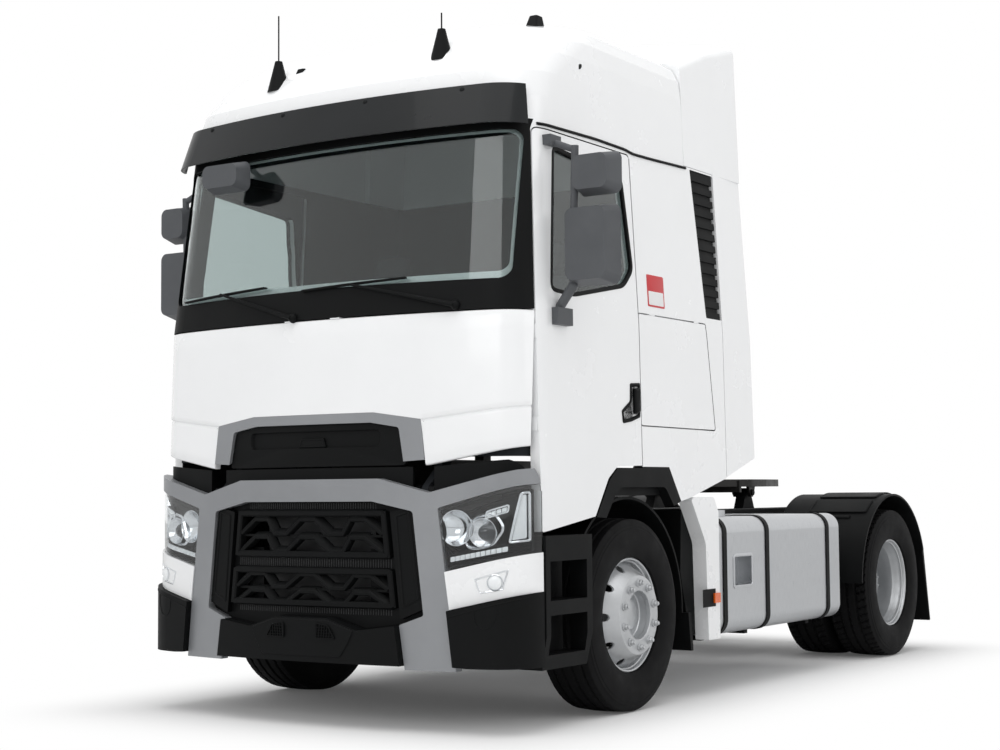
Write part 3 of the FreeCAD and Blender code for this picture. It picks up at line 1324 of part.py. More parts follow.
def makeSteps():
    y0 = frontAxle - S.bumperBack + S.seam
    y1 = frontAxle - 430
    block = box(1070, S.stepHalf, y0, y1, 300, S.skirtBottom - 12)
    sweep = rod(S.steerClear, V(S.kingpinHalf, frontAxle, 0), V(S.kingpinHalf, frontAxle, 2000))
    block = block.cut(sweep)
    for z in (370, 630):
        block = block.cut(box(1095, 1400, y0 + 40, frontAxle - 560, z, z + 190))
    slope = frontSlab([(S.stepHalf - 46, 200), (1400, 200), (1400, 460), (S.stepHalf, 460)], y0 - 10, y1 + 10)
    block = block.cut(slope)
    tie = box(S.railHalf, 1080, y0 + 20, y0 + 80, 700, 760)
    tie = tie.fuse(box(S.railHalf, S.railHalf + 30, y0 + 20, y0 + 80, 690, 900))
    whole = joined([block, tie])
    feature("entry_steps", both(whole))


def bandArc(centreY, inner, outer, start, stop, x0, x1):
    # Band of a cylinder about a wheel's axis between two angles above the ground's direction.
    def at(radius, angle):
        turn = math.radians(angle)
        return V(x0, centreY - radius * math.cos(turn), S.tyreRadius + radius * math.sin(turn))
    middle = (start + stop) / 2
    wire = Part.Wire([
        Part.Arc(at(inner, start), at(inner, middle), at(inner, stop)).toShape(),
        Part.LineSegment(at(inner, stop), at(outer, stop)).toShape(),
        Part.Arc(at(outer, stop), at(outer, middle), at(outer, start)).toShape(),
        Part.LineSegment(at(outer, start), at(inner, start)).toShape(),
    ])
    return Part.Face(wire).extrude(V(x1 - x0, 0, 0))


def makeMudguards():
    pieces = []
    wall = S.guardWall
    inner = S.steerClear
    liner = bandArc(frontAxle, inner, inner + wall, 42, 186, 620, 1148)
    drop = sideSlab([(inner - 2, 480), (inner + wall + 14, 480), (inner + wall + 40, 270),
                     (inner + 26, 270)], 620, 1190)
    tie = box(S.railHalf, 640, frontAxle + inner - 50, frontAxle + inner + 30, 700, 760)
    hold = bandArc(frontAxle, inner + 2, inner + wall, 150, 186, 560, 640)
    front = joined([liner, drop, tie, hold])
    rearBox = sideSlab([(655, 1040), (S.tankFront - 4, 1000), (S.tankFront - 4, S.tankBottom + 20),
                     (700, S.tankBottom + 20), (700, 480), (640, 700)], S.railHalf, S.fairingFace)
    inner = S.guardRadius
    arc = bandArc(rearAxle, inner, inner + wall, 2, 160, S.twinInnerHalf - 165, S.twinOuterHalf + 158)
    rearDrop = sideSlab([(S.wheelbase + 555, 760), (S.wheelbase + 590, 740),
                         (S.wheelbase + S.rearOverhang, 205), (S.wheelbase + S.rearOverhang - wall, 200)],
                        S.twinInnerHalf - 145, S.twinOuterHalf + 150)
    ties = []
    for angle in (48, 132):
        turn = math.radians(angle)
        radius = inner + wall / 2
        at = V(0, rearAxle - radius * math.cos(turn), S.tyreRadius + radius * math.sin(turn))
        ties.append(rod(18, at + V(S.railHalf, 0, 0), at + V(S.twinOuterHalf, 0, 0)))
    rear = joined([arc, rearDrop] + ties)
    feature("mudguards", Part.makeCompound([front, rearBox, rear, mirrored(front), mirrored(rearBox), mirrored(rear)]))


makeBumper()
makeGrille()
makeApron()
makeFrontBeam()
makeSteps()
makeMudguards()


# Tanks and boxes along the frame

def tankSection(grow, y0, y1, side):
    inner = S.railHalf + S.tankStand - grow
    outer = S.tankHalf + grow
    low = S.tankBottom - grow
    top = S.tankTop + grow
    r = S.tankRound + grow
    wire = outline([(side * inner, low, r), (side * outer, low, r), (side * outer, top, r),
                    (side * inner, top, r)], lambda p: V(p.x, y0, p.y))
    return Part.Face(wire).extrude(V(0, y1 - y0, 0))


def makeTanks():
    start = frontAxle + S.tankFront
    end = frontAxle + S.tankBack
    well = box(S.tankHalf - 90, S.tankHalf + 50, start + 200, start + 430, 600, 770)
    left = tankSection(0, start, end, 1).cut(well)
    cap = rod(55, V(S.tankHalf - 180, start + 330, S.tankTop - 5), V(S.tankHalf - 180, start + 330, S.tankTop + 38))
    left = joined([left, cap])
    rightStart = frontAxle + S.boxBack + 40
    right = tankSection(0, rightStart, end, -1)
    cap = rod(55, V(-S.tankHalf + 180, rightStart + 330, S.tankTop - 5),
              V(-S.tankHalf + 180, rightStart + 330, S.tankTop + 38))
    feature("fuel_tanks", Part.makeCompound([left, joined([right, cap])]))
    straps = []
    for side, first, spots in ((1, start, (50, 625, 1540)), (-1, rightStart, (60, 700))):
        for spot in spots:
            y = first + spot
            ring = tankSection(6, y, y + 46, side).cut(tankSection(0.3, y - 5, y + 51, side))
            arm = box(*sorted((side * S.railHalf, side * (S.railHalf + S.tankStand - 0.3))), y, y + 46,
                      S.tankBottom + 60, S.railTop - 20)
            foot = box(*sorted((side * S.railHalf, side * (S.tankHalf - 150))), y, y + 46,
                       S.tankBottom - 34, S.tankBottom - 6)
            side_arm = box(*sorted((side * S.railHalf, side * (S.railHalf + 30))), y, y + 46,
                           S.tankBottom - 34, S.tankBottom + 80)
            straps.append(joined([ring, arm, foot, side_arm]))
    feature("tank_straps", Part.makeCompound(straps))


def makeBoxes():
    horn = [(625, 1100, 8), (650, 1118, 20), (900, 1118, 40), (S.tankFront - 4, 1030, 20),
            (S.tankFront - 4, S.tankBottom - 10), (810, S.tankBottom - 10, 10), (790, 860, 90)]
    feature("side_fairings", both(sideSlab(horn, S.fairingFace + S.seatGap, S.tankHalf + 5)))
    silencer = doc.addObject("Part::Box", "SilencerBox")
    silencer.setExpression("Length", "Sizes.tankHalf - Sizes.railHalf")
    silencer.setExpression("Width", "Sizes.boxBack - Sizes.tankFront")
    silencer.setExpression("Height", "Sizes.tankTop - Sizes.tankBottom")
    silencer.setExpression(".Placement.Base.x", "-1 * Sizes.tankHalf")
    silencer.setExpression(".Placement.Base.y", f"{frontAxleCell} + Sizes.tankFront")
    silencer.setExpression(".Placement.Base.z", "Sizes.tankBottom")
    doc.recompute()
    rounded = doc.addObject("Part::Fillet", "silencer_box")
    rounded.Base = silencer
    long_edges = [number + 1 for number, edge in enumerate(silencer.Shape.Edges)
                  if abs(edge.tangentAt(edge.FirstParameter).y) > 0.9]
    rounded.Edges = [(number, 70.0, 70.0) for number in long_edges]
    keep("silencer_box", rounded)


def makeCoupling():
    # Base on the rails with two trunnion brackets, and the plate that rocks on their pins.
    y = coupling
    trunnion = S.coupleTop - 90
    half = S.coupleWidth / 2 - 70
    base = box(-S.railHalf, S.railHalf, y - 260, y + 260, S.railTop, S.railTop + 14)
    pieces = [base]
    for side, word in sides:
        x0, x1 = sorted((side * (half - 70), side * half))
        stand = Part.Face(outline([(y - 130, S.railTop), (y + 130, S.railTop),
                                   (y + 34, trunnion + 8, 20), (y + 20, trunnion + 30, 16),
                                   (y - 20, trunnion + 30, 16), (y - 34, trunnion + 8, 20)],
                                  lambda p: V(x0, p.x, p.y))).extrude(V(x1 - x0, 0, 0))
        pieces.append(stand)
        pieces.append(rod(20, V(side * (half - 100), y, trunnion), V(side * (half + 40), y, trunnion)))
    feature("coupling_base", joined(pieces))

    wide = S.coupleWidth / 2
    front = y - S.coupleLength * 0.42
    back = y + S.coupleLength * 0.58
    throat = S.throatWidth / 2
    top = Part.Face(outline([(-wide, y + 150, 60), (-wide, y - 120, 140), (-wide + 190, front, 120),
                             (wide - 190, front, 120), (wide, y - 120, 140), (wide, y + 150, 60),
                             (wide - 60, back, 60), (150, back, 20), (throat, y + 120, 60),
                             (throat, y, 0), (-throat, y, 0), (-throat, y + 120, 60),
                             (-150, back, 20), (-wide + 60, back, 60)],
                            lambda p: V(p.x, p.y, S.coupleTop - S.couplePlate))).extrude(
        V(0, 0, S.couplePlate))
    jaw = rod(throat, V(0, y, 900), V(0, y, 1300))
    rim = box(-wide + 40, wide - 40, y - 200, y - 172, S.coupleTop - 90, S.coupleTop - 10)
    ears = []
    for side, word in sides:
        for near in (8, -88 - 20):
            x0 = side * half + (near if side > 0 else -near - 20)
            ears.append(Part.Face(outline([(y - 60, S.coupleTop - 20), (y - 34, trunnion - 10, 20),
                                           (y - 14, trunnion - 32, 14), (y + 14, trunnion - 32, 14),
                                           (y + 34, trunnion - 10, 20), (y + 60, S.coupleTop - 20)],
                                          lambda p: V(x0, p.x, p.y))).extrude(V(20, 0, 0)))
    lock = rod(90, V(0, y, S.coupleTop - 74), V(0, y, S.coupleTop - 20))
    whole = joined([top, rim, lock] + ears).cut(jaw)
    slot = planSlab([(-throat, y), (throat, y), (throat, y + 130), (-throat, y + 130)], 1000, 1300)
    whole = whole.cut(slot)
    whole = whole.cut(rod(20 + S.runningGap, V(-800, y, trunnion), V(800, y, trunnion)))
    feature("coupling_plate", whole)


def makeLamps():
    pieces = []
    x = S.tankHalf + 5
    for side, word in sides:
        for y in (frontAxle + 870,):
            x0, x1 = sorted((side * x, side * (x + 14)))
            pieces.append(box(x0, x1, y, y + 70, 520, 575))
        x0, x1 = sorted((side * 455, side * 585))
        pieces.append(box(x0, x1, tail - 12 + S.seatGap, tail, railBottom + 4, railBottom + S.tailHeight - 4))
    feature("marker_lamps", Part.makeCompound(pieces))


makeTanks()
makeBoxes()
makeCoupling()
makeLamps()


# Checks and files

doc.recompute()
for item in doc.Objects:
    if "Invalid" in item.State or "Error" in item.State:
        raise SystemExit(f"{item.Name} did not build: {item.State}")
os.makedirs("parts", exist_ok=True)
for name, item in parts.items():
    shape = item.Shape
    if shape.isNull() or not shape.isValid():
        raise SystemExit(f"{name} has no valid shape")
    shape.exportStep(f"parts/{name}.step")
    print(name, len(shape.Solids), round(shape.Volume / 1e9, 5))
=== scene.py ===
import math
import bmesh
import bpy
import numpy as np
from mathutils import Matrix


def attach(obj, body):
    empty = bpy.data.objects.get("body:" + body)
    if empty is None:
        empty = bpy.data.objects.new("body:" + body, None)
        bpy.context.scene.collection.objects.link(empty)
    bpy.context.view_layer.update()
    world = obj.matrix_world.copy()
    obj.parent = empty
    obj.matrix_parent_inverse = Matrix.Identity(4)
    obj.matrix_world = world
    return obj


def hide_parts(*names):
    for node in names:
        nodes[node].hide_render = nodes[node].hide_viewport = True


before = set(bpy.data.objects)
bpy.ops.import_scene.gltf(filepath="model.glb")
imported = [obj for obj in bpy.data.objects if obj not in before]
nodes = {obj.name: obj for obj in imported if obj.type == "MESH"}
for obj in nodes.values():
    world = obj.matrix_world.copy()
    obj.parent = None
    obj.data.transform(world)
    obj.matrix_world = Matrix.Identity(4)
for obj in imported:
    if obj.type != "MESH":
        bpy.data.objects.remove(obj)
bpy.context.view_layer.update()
print("frame loaded:", len(nodes), "nodes")


# Colours and node trees

def linear(hexColour):
    # sRGB hex to linear: (c / 12.92) below 0.04045, else ((c + 0.055) / 1.055) ^ 2.4
    parts = np.array([int(hexColour[i:i + 2], 16) for i in (0, 2, 4)]) / 255
    curve = np.where(parts <= 0.04045, parts / 12.92, ((parts + 0.055) / 1.055) ** 2.4)
    return (*curve.tolist(), 1.0)


def addNode(tree, kind, links=None, **settings):
    node = tree.nodes.new("ShaderNode" + kind)
    for name, value in settings.items():
        setattr(node, name, value)
    for socket, value in (links or {}).items():
        if isinstance(value, bpy.types.NodeSocket):
            tree.links.new(value, node.inputs[socket])
        else:
            node.inputs[socket].default_value = value
    return node


def newMaterial(name):
    material = bpy.data.materials.new(name)
    material.use_nodes = True
    material.node_tree.nodes.clear()
    return material, material.node_tree


def coated(name, look):
    # a moulded, painted or cast surface: mottled colour, uneven gloss and a fine grain;
    # patterns scale from millimetres, 1000 / mm per metre
    material, tree = newMaterial(name)
    place = addNode(tree, "TexCoord").outputs["Object"]
    stretch = addNode(tree, "Mapping", {"Vector": place, "Scale": look.get("stretch", (1, 1, 1))})
    wide = addNode(tree, "TexNoise", {"Vector": stretch.outputs[0], "Scale": 1000 / look["mottleMm"],
                                      "Detail": 6.0, "Roughness": 0.6})
    fine = addNode(tree, "TexNoise", {"Vector": stretch.outputs[0], "Scale": 1000 / look["grainMm"],
                                      "Detail": 3.0, "Roughness": 0.55})
    tone = addNode(tree, "ValToRGB", {"Fac": wide.outputs["Fac"]})
    tone.color_ramp.elements[0].position = 0.3
    tone.color_ramp.elements[0].color = linear(look["shade"])
    tone.color_ramp.elements[1].position = 0.7
    tone.color_ramp.elements[1].color = linear(look["colour"])
    low, high = look["roughness"]
    gloss = addNode(tree, "MapRange", {"Value": wide.outputs["Fac"], "From Min": 0.3, "From Max": 0.7,
                                       "To Min": low, "To Max": high})
    bump = addNode(tree, "Bump", {"Height": fine.outputs["Fac"], "Strength": look.get("strength", 0.3),
                                  "Distance": look["depthMm"] / 1000})
    shader = addNode(tree, "BsdfPrincipled", {
        "Base Color": tone.outputs["Color"], "Roughness": gloss.outputs["Result"],
        "Normal": bump.outputs["Normal"], "Metallic": look.get("metallic", 0.0),
        "IOR": look.get("ior", 1.5), "Specular IOR Level": look.get("specular", 0.5),
        "Coat Weight": look.get("coat", 0.0),
        "Coat Roughness": look.get("coatRoughness", 0.05)})
    addNode(tree, "OutputMaterial", {"Surface": shader.outputs[0]})
    return material


def clearSheet(name, look):
    # glass or a clear moulding: lets lamp light through, tinted once by its colour
    material, tree = newMaterial(name)
    place = addNode(tree, "TexCoord").outputs["Object"]
    haze = addNode(tree, "TexNoise", {"Vector": place, "Scale": 1000 / look["hazeMm"], "Detail": 4.0})
    gloss = addNode(tree, "MapRange", {"Value": haze.outputs["Fac"], "From Min": 0.4, "From Max": 0.8,
                                       "To Min": look["roughness"][0], "To Max": look["roughness"][1]})
    shader = addNode(tree, "BsdfPrincipled", {
        "Base Color": linear(look["colour"]), "Roughness": gloss.outputs["Result"],
        "IOR": look["ior"], "Transmission Weight": 1.0})
    through = addNode(tree, "BsdfTransparent", {"Color": linear(look["colour"])})
    ray = addNode(tree, "LightPath")
    both = addNode(tree, "MixShader", {"Fac": ray.outputs["Is Shadow Ray"],
                                       1: shader.outputs[0], 2: through.outputs[0]})
    addNode(tree, "OutputMaterial", {"Surface": both.outputs[0]})
    return material


finishes = {
    # two-pack acrylic enamel, sprayed: bright, smooth, a trace of orange peel
    "white_paint": coated("acrylicEnamelWhite", dict(
        colour="F3F4F5", shade="EFF0F1", roughness=(0.22, 0.30), mottleMm=700, grainMm=9,
        depthMm=0.25, strength=0.10, coat=0.5)),
    # sprayed metallic grey on polypropylene: satin, fine flake
    "grey_paint": coated("satinMetallicGrey", dict(
        colour="8E9093", shade="85878A", roughness=(0.34, 0.44), mottleMm=500, grainMm=3,
        depthMm=0.2, strength=0.15, metallic=0.25)),
    # moulded polypropylene with spark-eroded grain (1.2 mm, drawn at 4 mm so that it shows)
    "black_plastic": coated("grainedPolypropylene", dict(
        colour="0E0F10", shade="0B0C0C", roughness=(0.48, 0.60), mottleMm=240, grainMm=4,
        depthMm=0.6, strength=0.35, specular=0.10)),
    # moulded ABS of the dash and mirrors, finer grain
    "dark_plastic": coated("mouldedAbs", dict(
        colour="17191A", shade="131415", roughness=(0.50, 0.62), mottleMm=160, grainMm=3,
        depthMm=0.4, strength=0.3, specular=0.15)),
    # cast acrylic of the sun visor, dark smoke
    "dark_acrylic": coated("smokedAcrylic", dict(
        colour="1B1D1F", shade="181A1B", roughness=(0.26, 0.36), mottleMm=500, grainMm=12,
        depthMm=0.2, strength=0.08, coat=0.1, specular=0.15)),
    # laminated float glass of the cab
    "glass": clearSheet("laminatedGlass", dict(colour="C9D3D2", roughness=(0.0, 0.01), ior=1.5, hazeMm=300)),
    # clear polycarbonate of the lamp covers
    "clear_lens": clearSheet("clearPolycarbonate", dict(colour="F4F6F7", roughness=(0.0, 0.02), ior=1.45,
                                                       hazeMm=80)),
    # amber polycarbonate of the marker lamps
    "orange_lens": coated("amberPolycarbonate", dict(
        colour="F06A12", shade="D9560A", roughness=(0.12, 0.2), mottleMm=30, grainMm=3,
        depthMm=0.5, strength=0.4, coat=0.6)),
    # vacuum-metallised chrome inside the lamps
    "reflector": coated("vacuumMetallisedChrome", dict(
        colour="DCDEE0", shade="CFD2D5", roughness=(0.06, 0.12), mottleMm=60, grainMm=6,
        depthMm=0.1, strength=0.05, metallic=1.0)),
    # brushed aluminium of the fuel tank: streaks run round the tank
    "tank_aluminium": coated("brushedAluminium", dict(
        colour="C6C8CA", shade="B4B6B9", roughness=(0.26, 0.42), mottleMm=60, grainMm=6,
        depthMm=0.15, strength=0.2, metallic=1.0, stretch=(1, 14, 1))),
    # silver enamel on pressed steel wheels
    "wheel_steel": coated("silverWheelEnamel", dict(
        colour="C2C4C6", shade="B4B6B8", roughness=(0.28, 0.38), mottleMm=120, grainMm=5,
        depthMm=0.25, strength=0.12, metallic=0.6)),
    # carbon-black rubber, dry and matt
    "tyre": coated("vulcanisedRubber", dict(
        colour="101011", shade="0C0C0D", roughness=(0.62, 0.78), mottleMm=90, grainMm=3,
        depthMm=0.5, strength=0.35, specular=0.12)),
    # black chassis enamel on rolled steel
    "chassis_paint": coated("chassisEnamel", dict(
        colour="0F1011", shade="0B0C0D", roughness=(0.40, 0.58), mottleMm=150, grainMm=5,
        depthMm=0.4, strength=0.25, specular=0.12)),
    # cast iron under a film of grease
    "cast_iron": coated("greasedCastIron", dict(
        colour="2D2C2B", shade="1F1E1D", roughness=(0.32, 0.55), mottleMm=70, grainMm=4,
        depthMm=0.6, strength=0.4, metallic=0.5)),
    # black-coated aluminium fins
    "radiator": coated("finnedAluminium", dict(
        colour="1E1F21", shade="141517", roughness=(0.45, 0.6), mottleMm=90, grainMm=5,
        depthMm=0.4, strength=0.2)),
    # woven polyester seat cloth
    "seat_fabric": coated("wovenSeatCloth", dict(
        colour="3A3C40", shade="2E3034", roughness=(0.80, 0.92), mottleMm=60, grainMm=3,
        depthMm=0.8, strength=0.6)),
}

# dark grey for the cab's inward and underside faces: partly the real lining, partly painted shade
cabLiningAndShade = dict(middle=(0, -0.95, 2.25), low=1.50, half=1.15, colour="2B2D30")


def liningAndShadePaint(outside):
    # enamel outside and a dark grey within: faces turned toward the cab's middle, and all that is
    # lower and further in than the skirts, take it; it is partly the felt lining, partly painted shade inside
    # and under the cab
    material = outside.copy()
    material.name = "enamelWithLiningAndShade"
    tree = material.node_tree
    shader = next(one for one in tree.nodes if one.type == "BSDF_PRINCIPLED")
    place = addNode(tree, "TexCoord")
    away = addNode(tree, "VectorMath", {0: place.outputs["Object"], 1: cabLiningAndShade["middle"]},
                   operation="SUBTRACT")
    facing = addNode(tree, "VectorMath", {0: away.outputs[0], 1: place.outputs["Normal"]},
                     operation="DOT_PRODUCT")
    inwards = addNode(tree, "Math", {0: facing.outputs["Value"], 1: -0.02}, operation="LESS_THAN")
    spot = addNode(tree, "SeparateXYZ", {0: place.outputs["Object"]})
    low = addNode(tree, "Math", {0: spot.outputs["Z"], 1: cabLiningAndShade["low"]}, operation="LESS_THAN")
    side = addNode(tree, "Math", {0: spot.outputs["X"]}, operation="ABSOLUTE")
    near = addNode(tree, "Math", {0: side.outputs[0], 1: cabLiningAndShade["half"]}, operation="LESS_THAN")
    under = addNode(tree, "Math", {0: low.outputs[0], 1: near.outputs[0]}, operation="MULTIPLY")
    liningAndShadeMask = addNode(tree, "Math", {0: inwards.outputs[0], 1: under.outputs[0]}, operation="MAXIMUM")
    # the dark grey shader: lining colour that also paints the shade inside and under the cab
    liningAndShadeBsdf = addNode(tree, "BsdfPrincipled", {"Base Color": linear(cabLiningAndShade["colour"]), "Roughness": 0.85,
                                              "Specular IOR Level": 0.1})
    both = addNode(tree, "MixShader", {"Fac": liningAndShadeMask.outputs[0], 1: shader.outputs[0], 2: liningAndShadeBsdf.outputs[0]})
    output = next(one for one in tree.nodes if one.type == "OUTPUT_MATERIAL")
    tree.links.new(both.outputs[0], output.inputs["Surface"])
    return material


# cab enamel whose inward and underside faces carry painted shade and the lining's colour
cabPaint = liningAndShadePaint(finishes["white_paint"])
# painted ABS of the mirror shells, dark grey
mirrorGrey = coated("mirrorShellGrey", dict(
    colour="57595C", shade="505255", roughness=(0.42, 0.52), mottleMm=160, grainMm=3,
    depthMm=0.4, strength=0.25, specular=0.2))
for name, node in nodes.items():
    for one in node.material_slots:
        base = one.material.name.split(".")[0]
        if base in finishes:
            one.material = finishes[base]
        if base == "white_paint" and name.startswith(("cab_shell", "door_")):
            one.material = cabPaint
        if base != "reflector" and "mirror" in name:
            one.material = mirrorGrey
    if "mirror" in name:
        ease = node.modifiers.new("ease", "BEVEL")
        ease.width = 0.016
        ease.segments = 3
        ease.limit_method = "ANGLE"
        ease.angle_limit = math.radians(35)
print("finishes:", len(finishes))


# Making pieces from arrays of points

def gridFaces(rows, columns, closeRows=False, closeColumns=False):
    # quads between neighbours of a grid numbered row by row
    i = np.arange(rows if closeRows else rows - 1)[:, None]
    j = np.arange(columns if closeColumns else columns - 1)[None, :]
    down = (i + 1) % rows
    right = (j + 1) % columns
    quads = np.stack([i * columns + j, i * columns + right, down * columns + right, down * columns + j], -1)
    return quads.reshape(-1, 4)


def joinShapes(*shapes):
    points, faces, start = [], [], 0
    for shapePoints, shapeFaces in shapes:
        points.append(np.asarray(shapePoints, float).reshape(-1, 3))
        faces.extend((np.asarray(face) + start).tolist() for face in shapeFaces)
        start += len(points[-1])
    return np.concatenate(points), faces


def mirrorShape(shape):
    # the other side: x changes sign, and each face is read backwards so it still points outwards
    points, faces = shape
    return np.asarray(points) * (-1, 1, 1), [list(face)[::-1] for face in faces]


def addPiece(name, shape, slotName, body, sharpAngle=35, replaced=(), finish=None):
    points, faces = shape
    mesh = bpy.data.meshes.new(name)
    mesh.from_pydata(np.asarray(points, float).tolist(), [], [list(map(int, face)) for face in faces])
    shell = bmesh.new()
    shell.from_mesh(mesh)
    bmesh.ops.remove_doubles(shell, verts=shell.verts, dist=2e-5)
    bmesh.ops.recalc_face_normals(shell, faces=shell.faces)
    shell.to_mesh(mesh)
    shell.free()
    mesh.polygons.foreach_set("use_smooth", np.ones(len(mesh.polygons), bool))
    mesh.set_sharp_from_angle(angle=math.radians(sharpAngle))
    mesh.materials.append(finish or finishes[slotName])
    piece = bpy.data.objects.new(name, mesh)
    bpy.context.scene.collection.objects.link(piece)
    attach(piece, body)
    if replaced:
        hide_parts(*replaced)
    return piece


def turned(profile, steps, centre, axis=(1, 0, 0), closed=False):
    # a profile of (distance along the axis, radius) turned about it: centre + d axis + r (cos a, sin a)
    profile = np.asarray(profile, float)
    axis = np.asarray(axis, float) / np.linalg.norm(axis)
    across = np.cross(axis, (0.0, 0.0, 1.0) if abs(axis[2]) < 0.9 else (0.0, 1.0, 0.0))
    across /= np.linalg.norm(across)
    upwards = np.cross(across, axis)
    angle = np.linspace(0, 2 * math.pi, steps, endpoint=False)[:, None, None]
    radius = profile[None, :, 1, None]
    points = (np.asarray(centre, float) + profile[None, :, 0, None] * axis
              + radius * (np.cos(angle) * across + np.sin(angle) * upwards))
    return points.reshape(-1, 3), gridFaces(steps, len(profile), True, closed).tolist()


def copies(shape, places):
    # the same shape at each of several places
    points, faces = shape
    return joinShapes(*[(np.asarray(points) + place, faces) for place in np.asarray(places, float)])


def evenly(line, count, closed=False):
    # points at even steps along a line
    line = np.asarray(line, float)
    if closed:
        line = np.vstack([line, line[:1]])
    run = np.concatenate([[0], np.cumsum(np.linalg.norm(np.diff(line, axis=0), axis=1))])
    spots = np.linspace(0, run[-1], count, endpoint=not closed)
    return np.stack([np.interp(spots, run, line[:, k]) for k in range(line.shape[1])], -1)


def rounded(corners, radius, count, closed=True):
    # a line whose corners are eased: a quadratic curve from one side of each corner to the other
    corners = np.asarray(corners, float)
    before, after = np.roll(corners, 1, 0), np.roll(corners, -1, 0)
    if not closed:
        before[0], after[-1] = corners[0], corners[-1]

    def toward(other):
        way = other - corners
        length = np.linalg.norm(way, axis=1, keepdims=True) + 1e-9
        return corners + way / length * np.minimum(radius, 0.45 * length)

    t = np.linspace(0, 1, 7)[:, None, None]
    arcs = (1 - t) ** 2 * toward(before) + 2 * t * (1 - t) * corners + t ** 2 * toward(after)
    return evenly(arcs.transpose(1, 0, 2).reshape(-1, corners.shape[1]), count, closed)


def relief(loop, rings, surface):
    # a closed form over a surface: rings of one outline, each drawn in by a distance and lifted by another
    loop = np.asarray(loop, float)
    ahead = np.roll(loop, -1, 0) - np.roll(loop, 1, 0)
    inwards = np.stack([-ahead[:, 1], ahead[:, 0]], -1)
    inwards /= np.linalg.norm(inwards, axis=1, keepdims=True) + 1e-9
    area = np.sum(loop[:, 0] * np.roll(loop[:, 1], -1) - np.roll(loop[:, 0], -1) * loop[:, 1])
    inwards *= np.sign(area)
    grid = [surface(*(loop + inwards * inset).T, lift) for inset, lift in rings]
    count = len(loop)
    faces = gridFaces(len(rings), count, False, True).tolist()
    faces += [list(range(count))[::-1], list(range(len(grid) * count - count, len(grid) * count))]
    return np.concatenate(grid), faces


def bead(path, profile, surface, closed=False):
    # a profile of (side, lift) carried along a path that lies on a surface
    path = np.asarray(path, float)
    ahead = np.roll(path, -1, 0) - np.roll(path, 1, 0) if closed else np.gradient(path, axis=0)
    side = np.stack([-ahead[:, 1], ahead[:, 0]], -1)
    side /= np.linalg.norm(side, axis=1, keepdims=True) + 1e-9
    profile = np.asarray(profile, float)
    u = path[:, :1] + side[:, :1] * profile[None, :, 0]
    v = path[:, 1:] + side[:, 1:] * profile[None, :, 0]
    points = surface(u, v, np.broadcast_to(profile[:, 1], u.shape)).reshape(-1, 3)
    rows, columns = u.shape
    faces = gridFaces(rows, columns, closed, True).tolist()
    if not closed:
        faces += [list(range(columns))[::-1], list(range((rows - 1) * columns, rows * columns))]
    return points, faces


def tube(path, radius, steps=12, helper=(0.31, 0.52, 0.79), closed=False):
    # a circle carried along a path, square to it; the radius may change along the way
    path = np.asarray(path, float)
    ahead = np.roll(path, -1, 0) - np.roll(path, 1, 0) if closed else np.gradient(path, axis=0)
    ahead /= np.linalg.norm(ahead, axis=1, keepdims=True) + 1e-9
    across = np.cross(ahead, helper)
    across /= np.linalg.norm(across, axis=1, keepdims=True)
    upwards = np.cross(ahead, across)
    angle = np.linspace(0, 2 * math.pi, steps, endpoint=False)[None, :, None]
    radius = np.broadcast_to(radius, (len(path),))[:, None, None]
    points = path[:, None] + radius * (np.cos(angle) * across[:, None] + np.sin(angle) * upwards[:, None])
    faces = gridFaces(len(path), steps, closed, True).tolist()
    if not closed:
        faces += [list(range(steps))[::-1], list(range((len(path) - 1) * steps, len(path) * steps))]
    return points.reshape(-1, 3), faces


def block(low, high, ease=0.004):
    # a box with eased edges, between its lowest and highest corners
    low, high = np.asarray(low, float), np.asarray(high, float)
    corners = [(low[0], low[1]), (high[0], low[1]), (high[0], high[1]), (low[0], high[1])]
    rings = ((ease, low[2]), (0, low[2] + ease), (0, high[2] - ease), (ease, high[2]))
    return relief(rounded(corners, ease * 2, 40), rings, lambda u, v, w: np.stack([u, v, u * 0 + w], -1))


# The outer skins as the source draws them: a slow arc across the nose, a tight arc at each
# corner, then straight back

cabForm = dict(heights=(0.955, 2.040, 3.000), noses=(1.240, 1.205, 1.085), halves=(1.218, 1.203, 1.152))
lampForm = dict(heights=(0, 3), noses=(1.254, 1.254), halves=(1.222, 1.222))
lowForm = dict(heights=(0, 3), noses=(1.300, 1.300), halves=(1.227, 1.227))
noseArc, cornerArc, frontAxle, rearAxle = 5.0, 0.25, -1.5, 2.1
sideOffset = 10


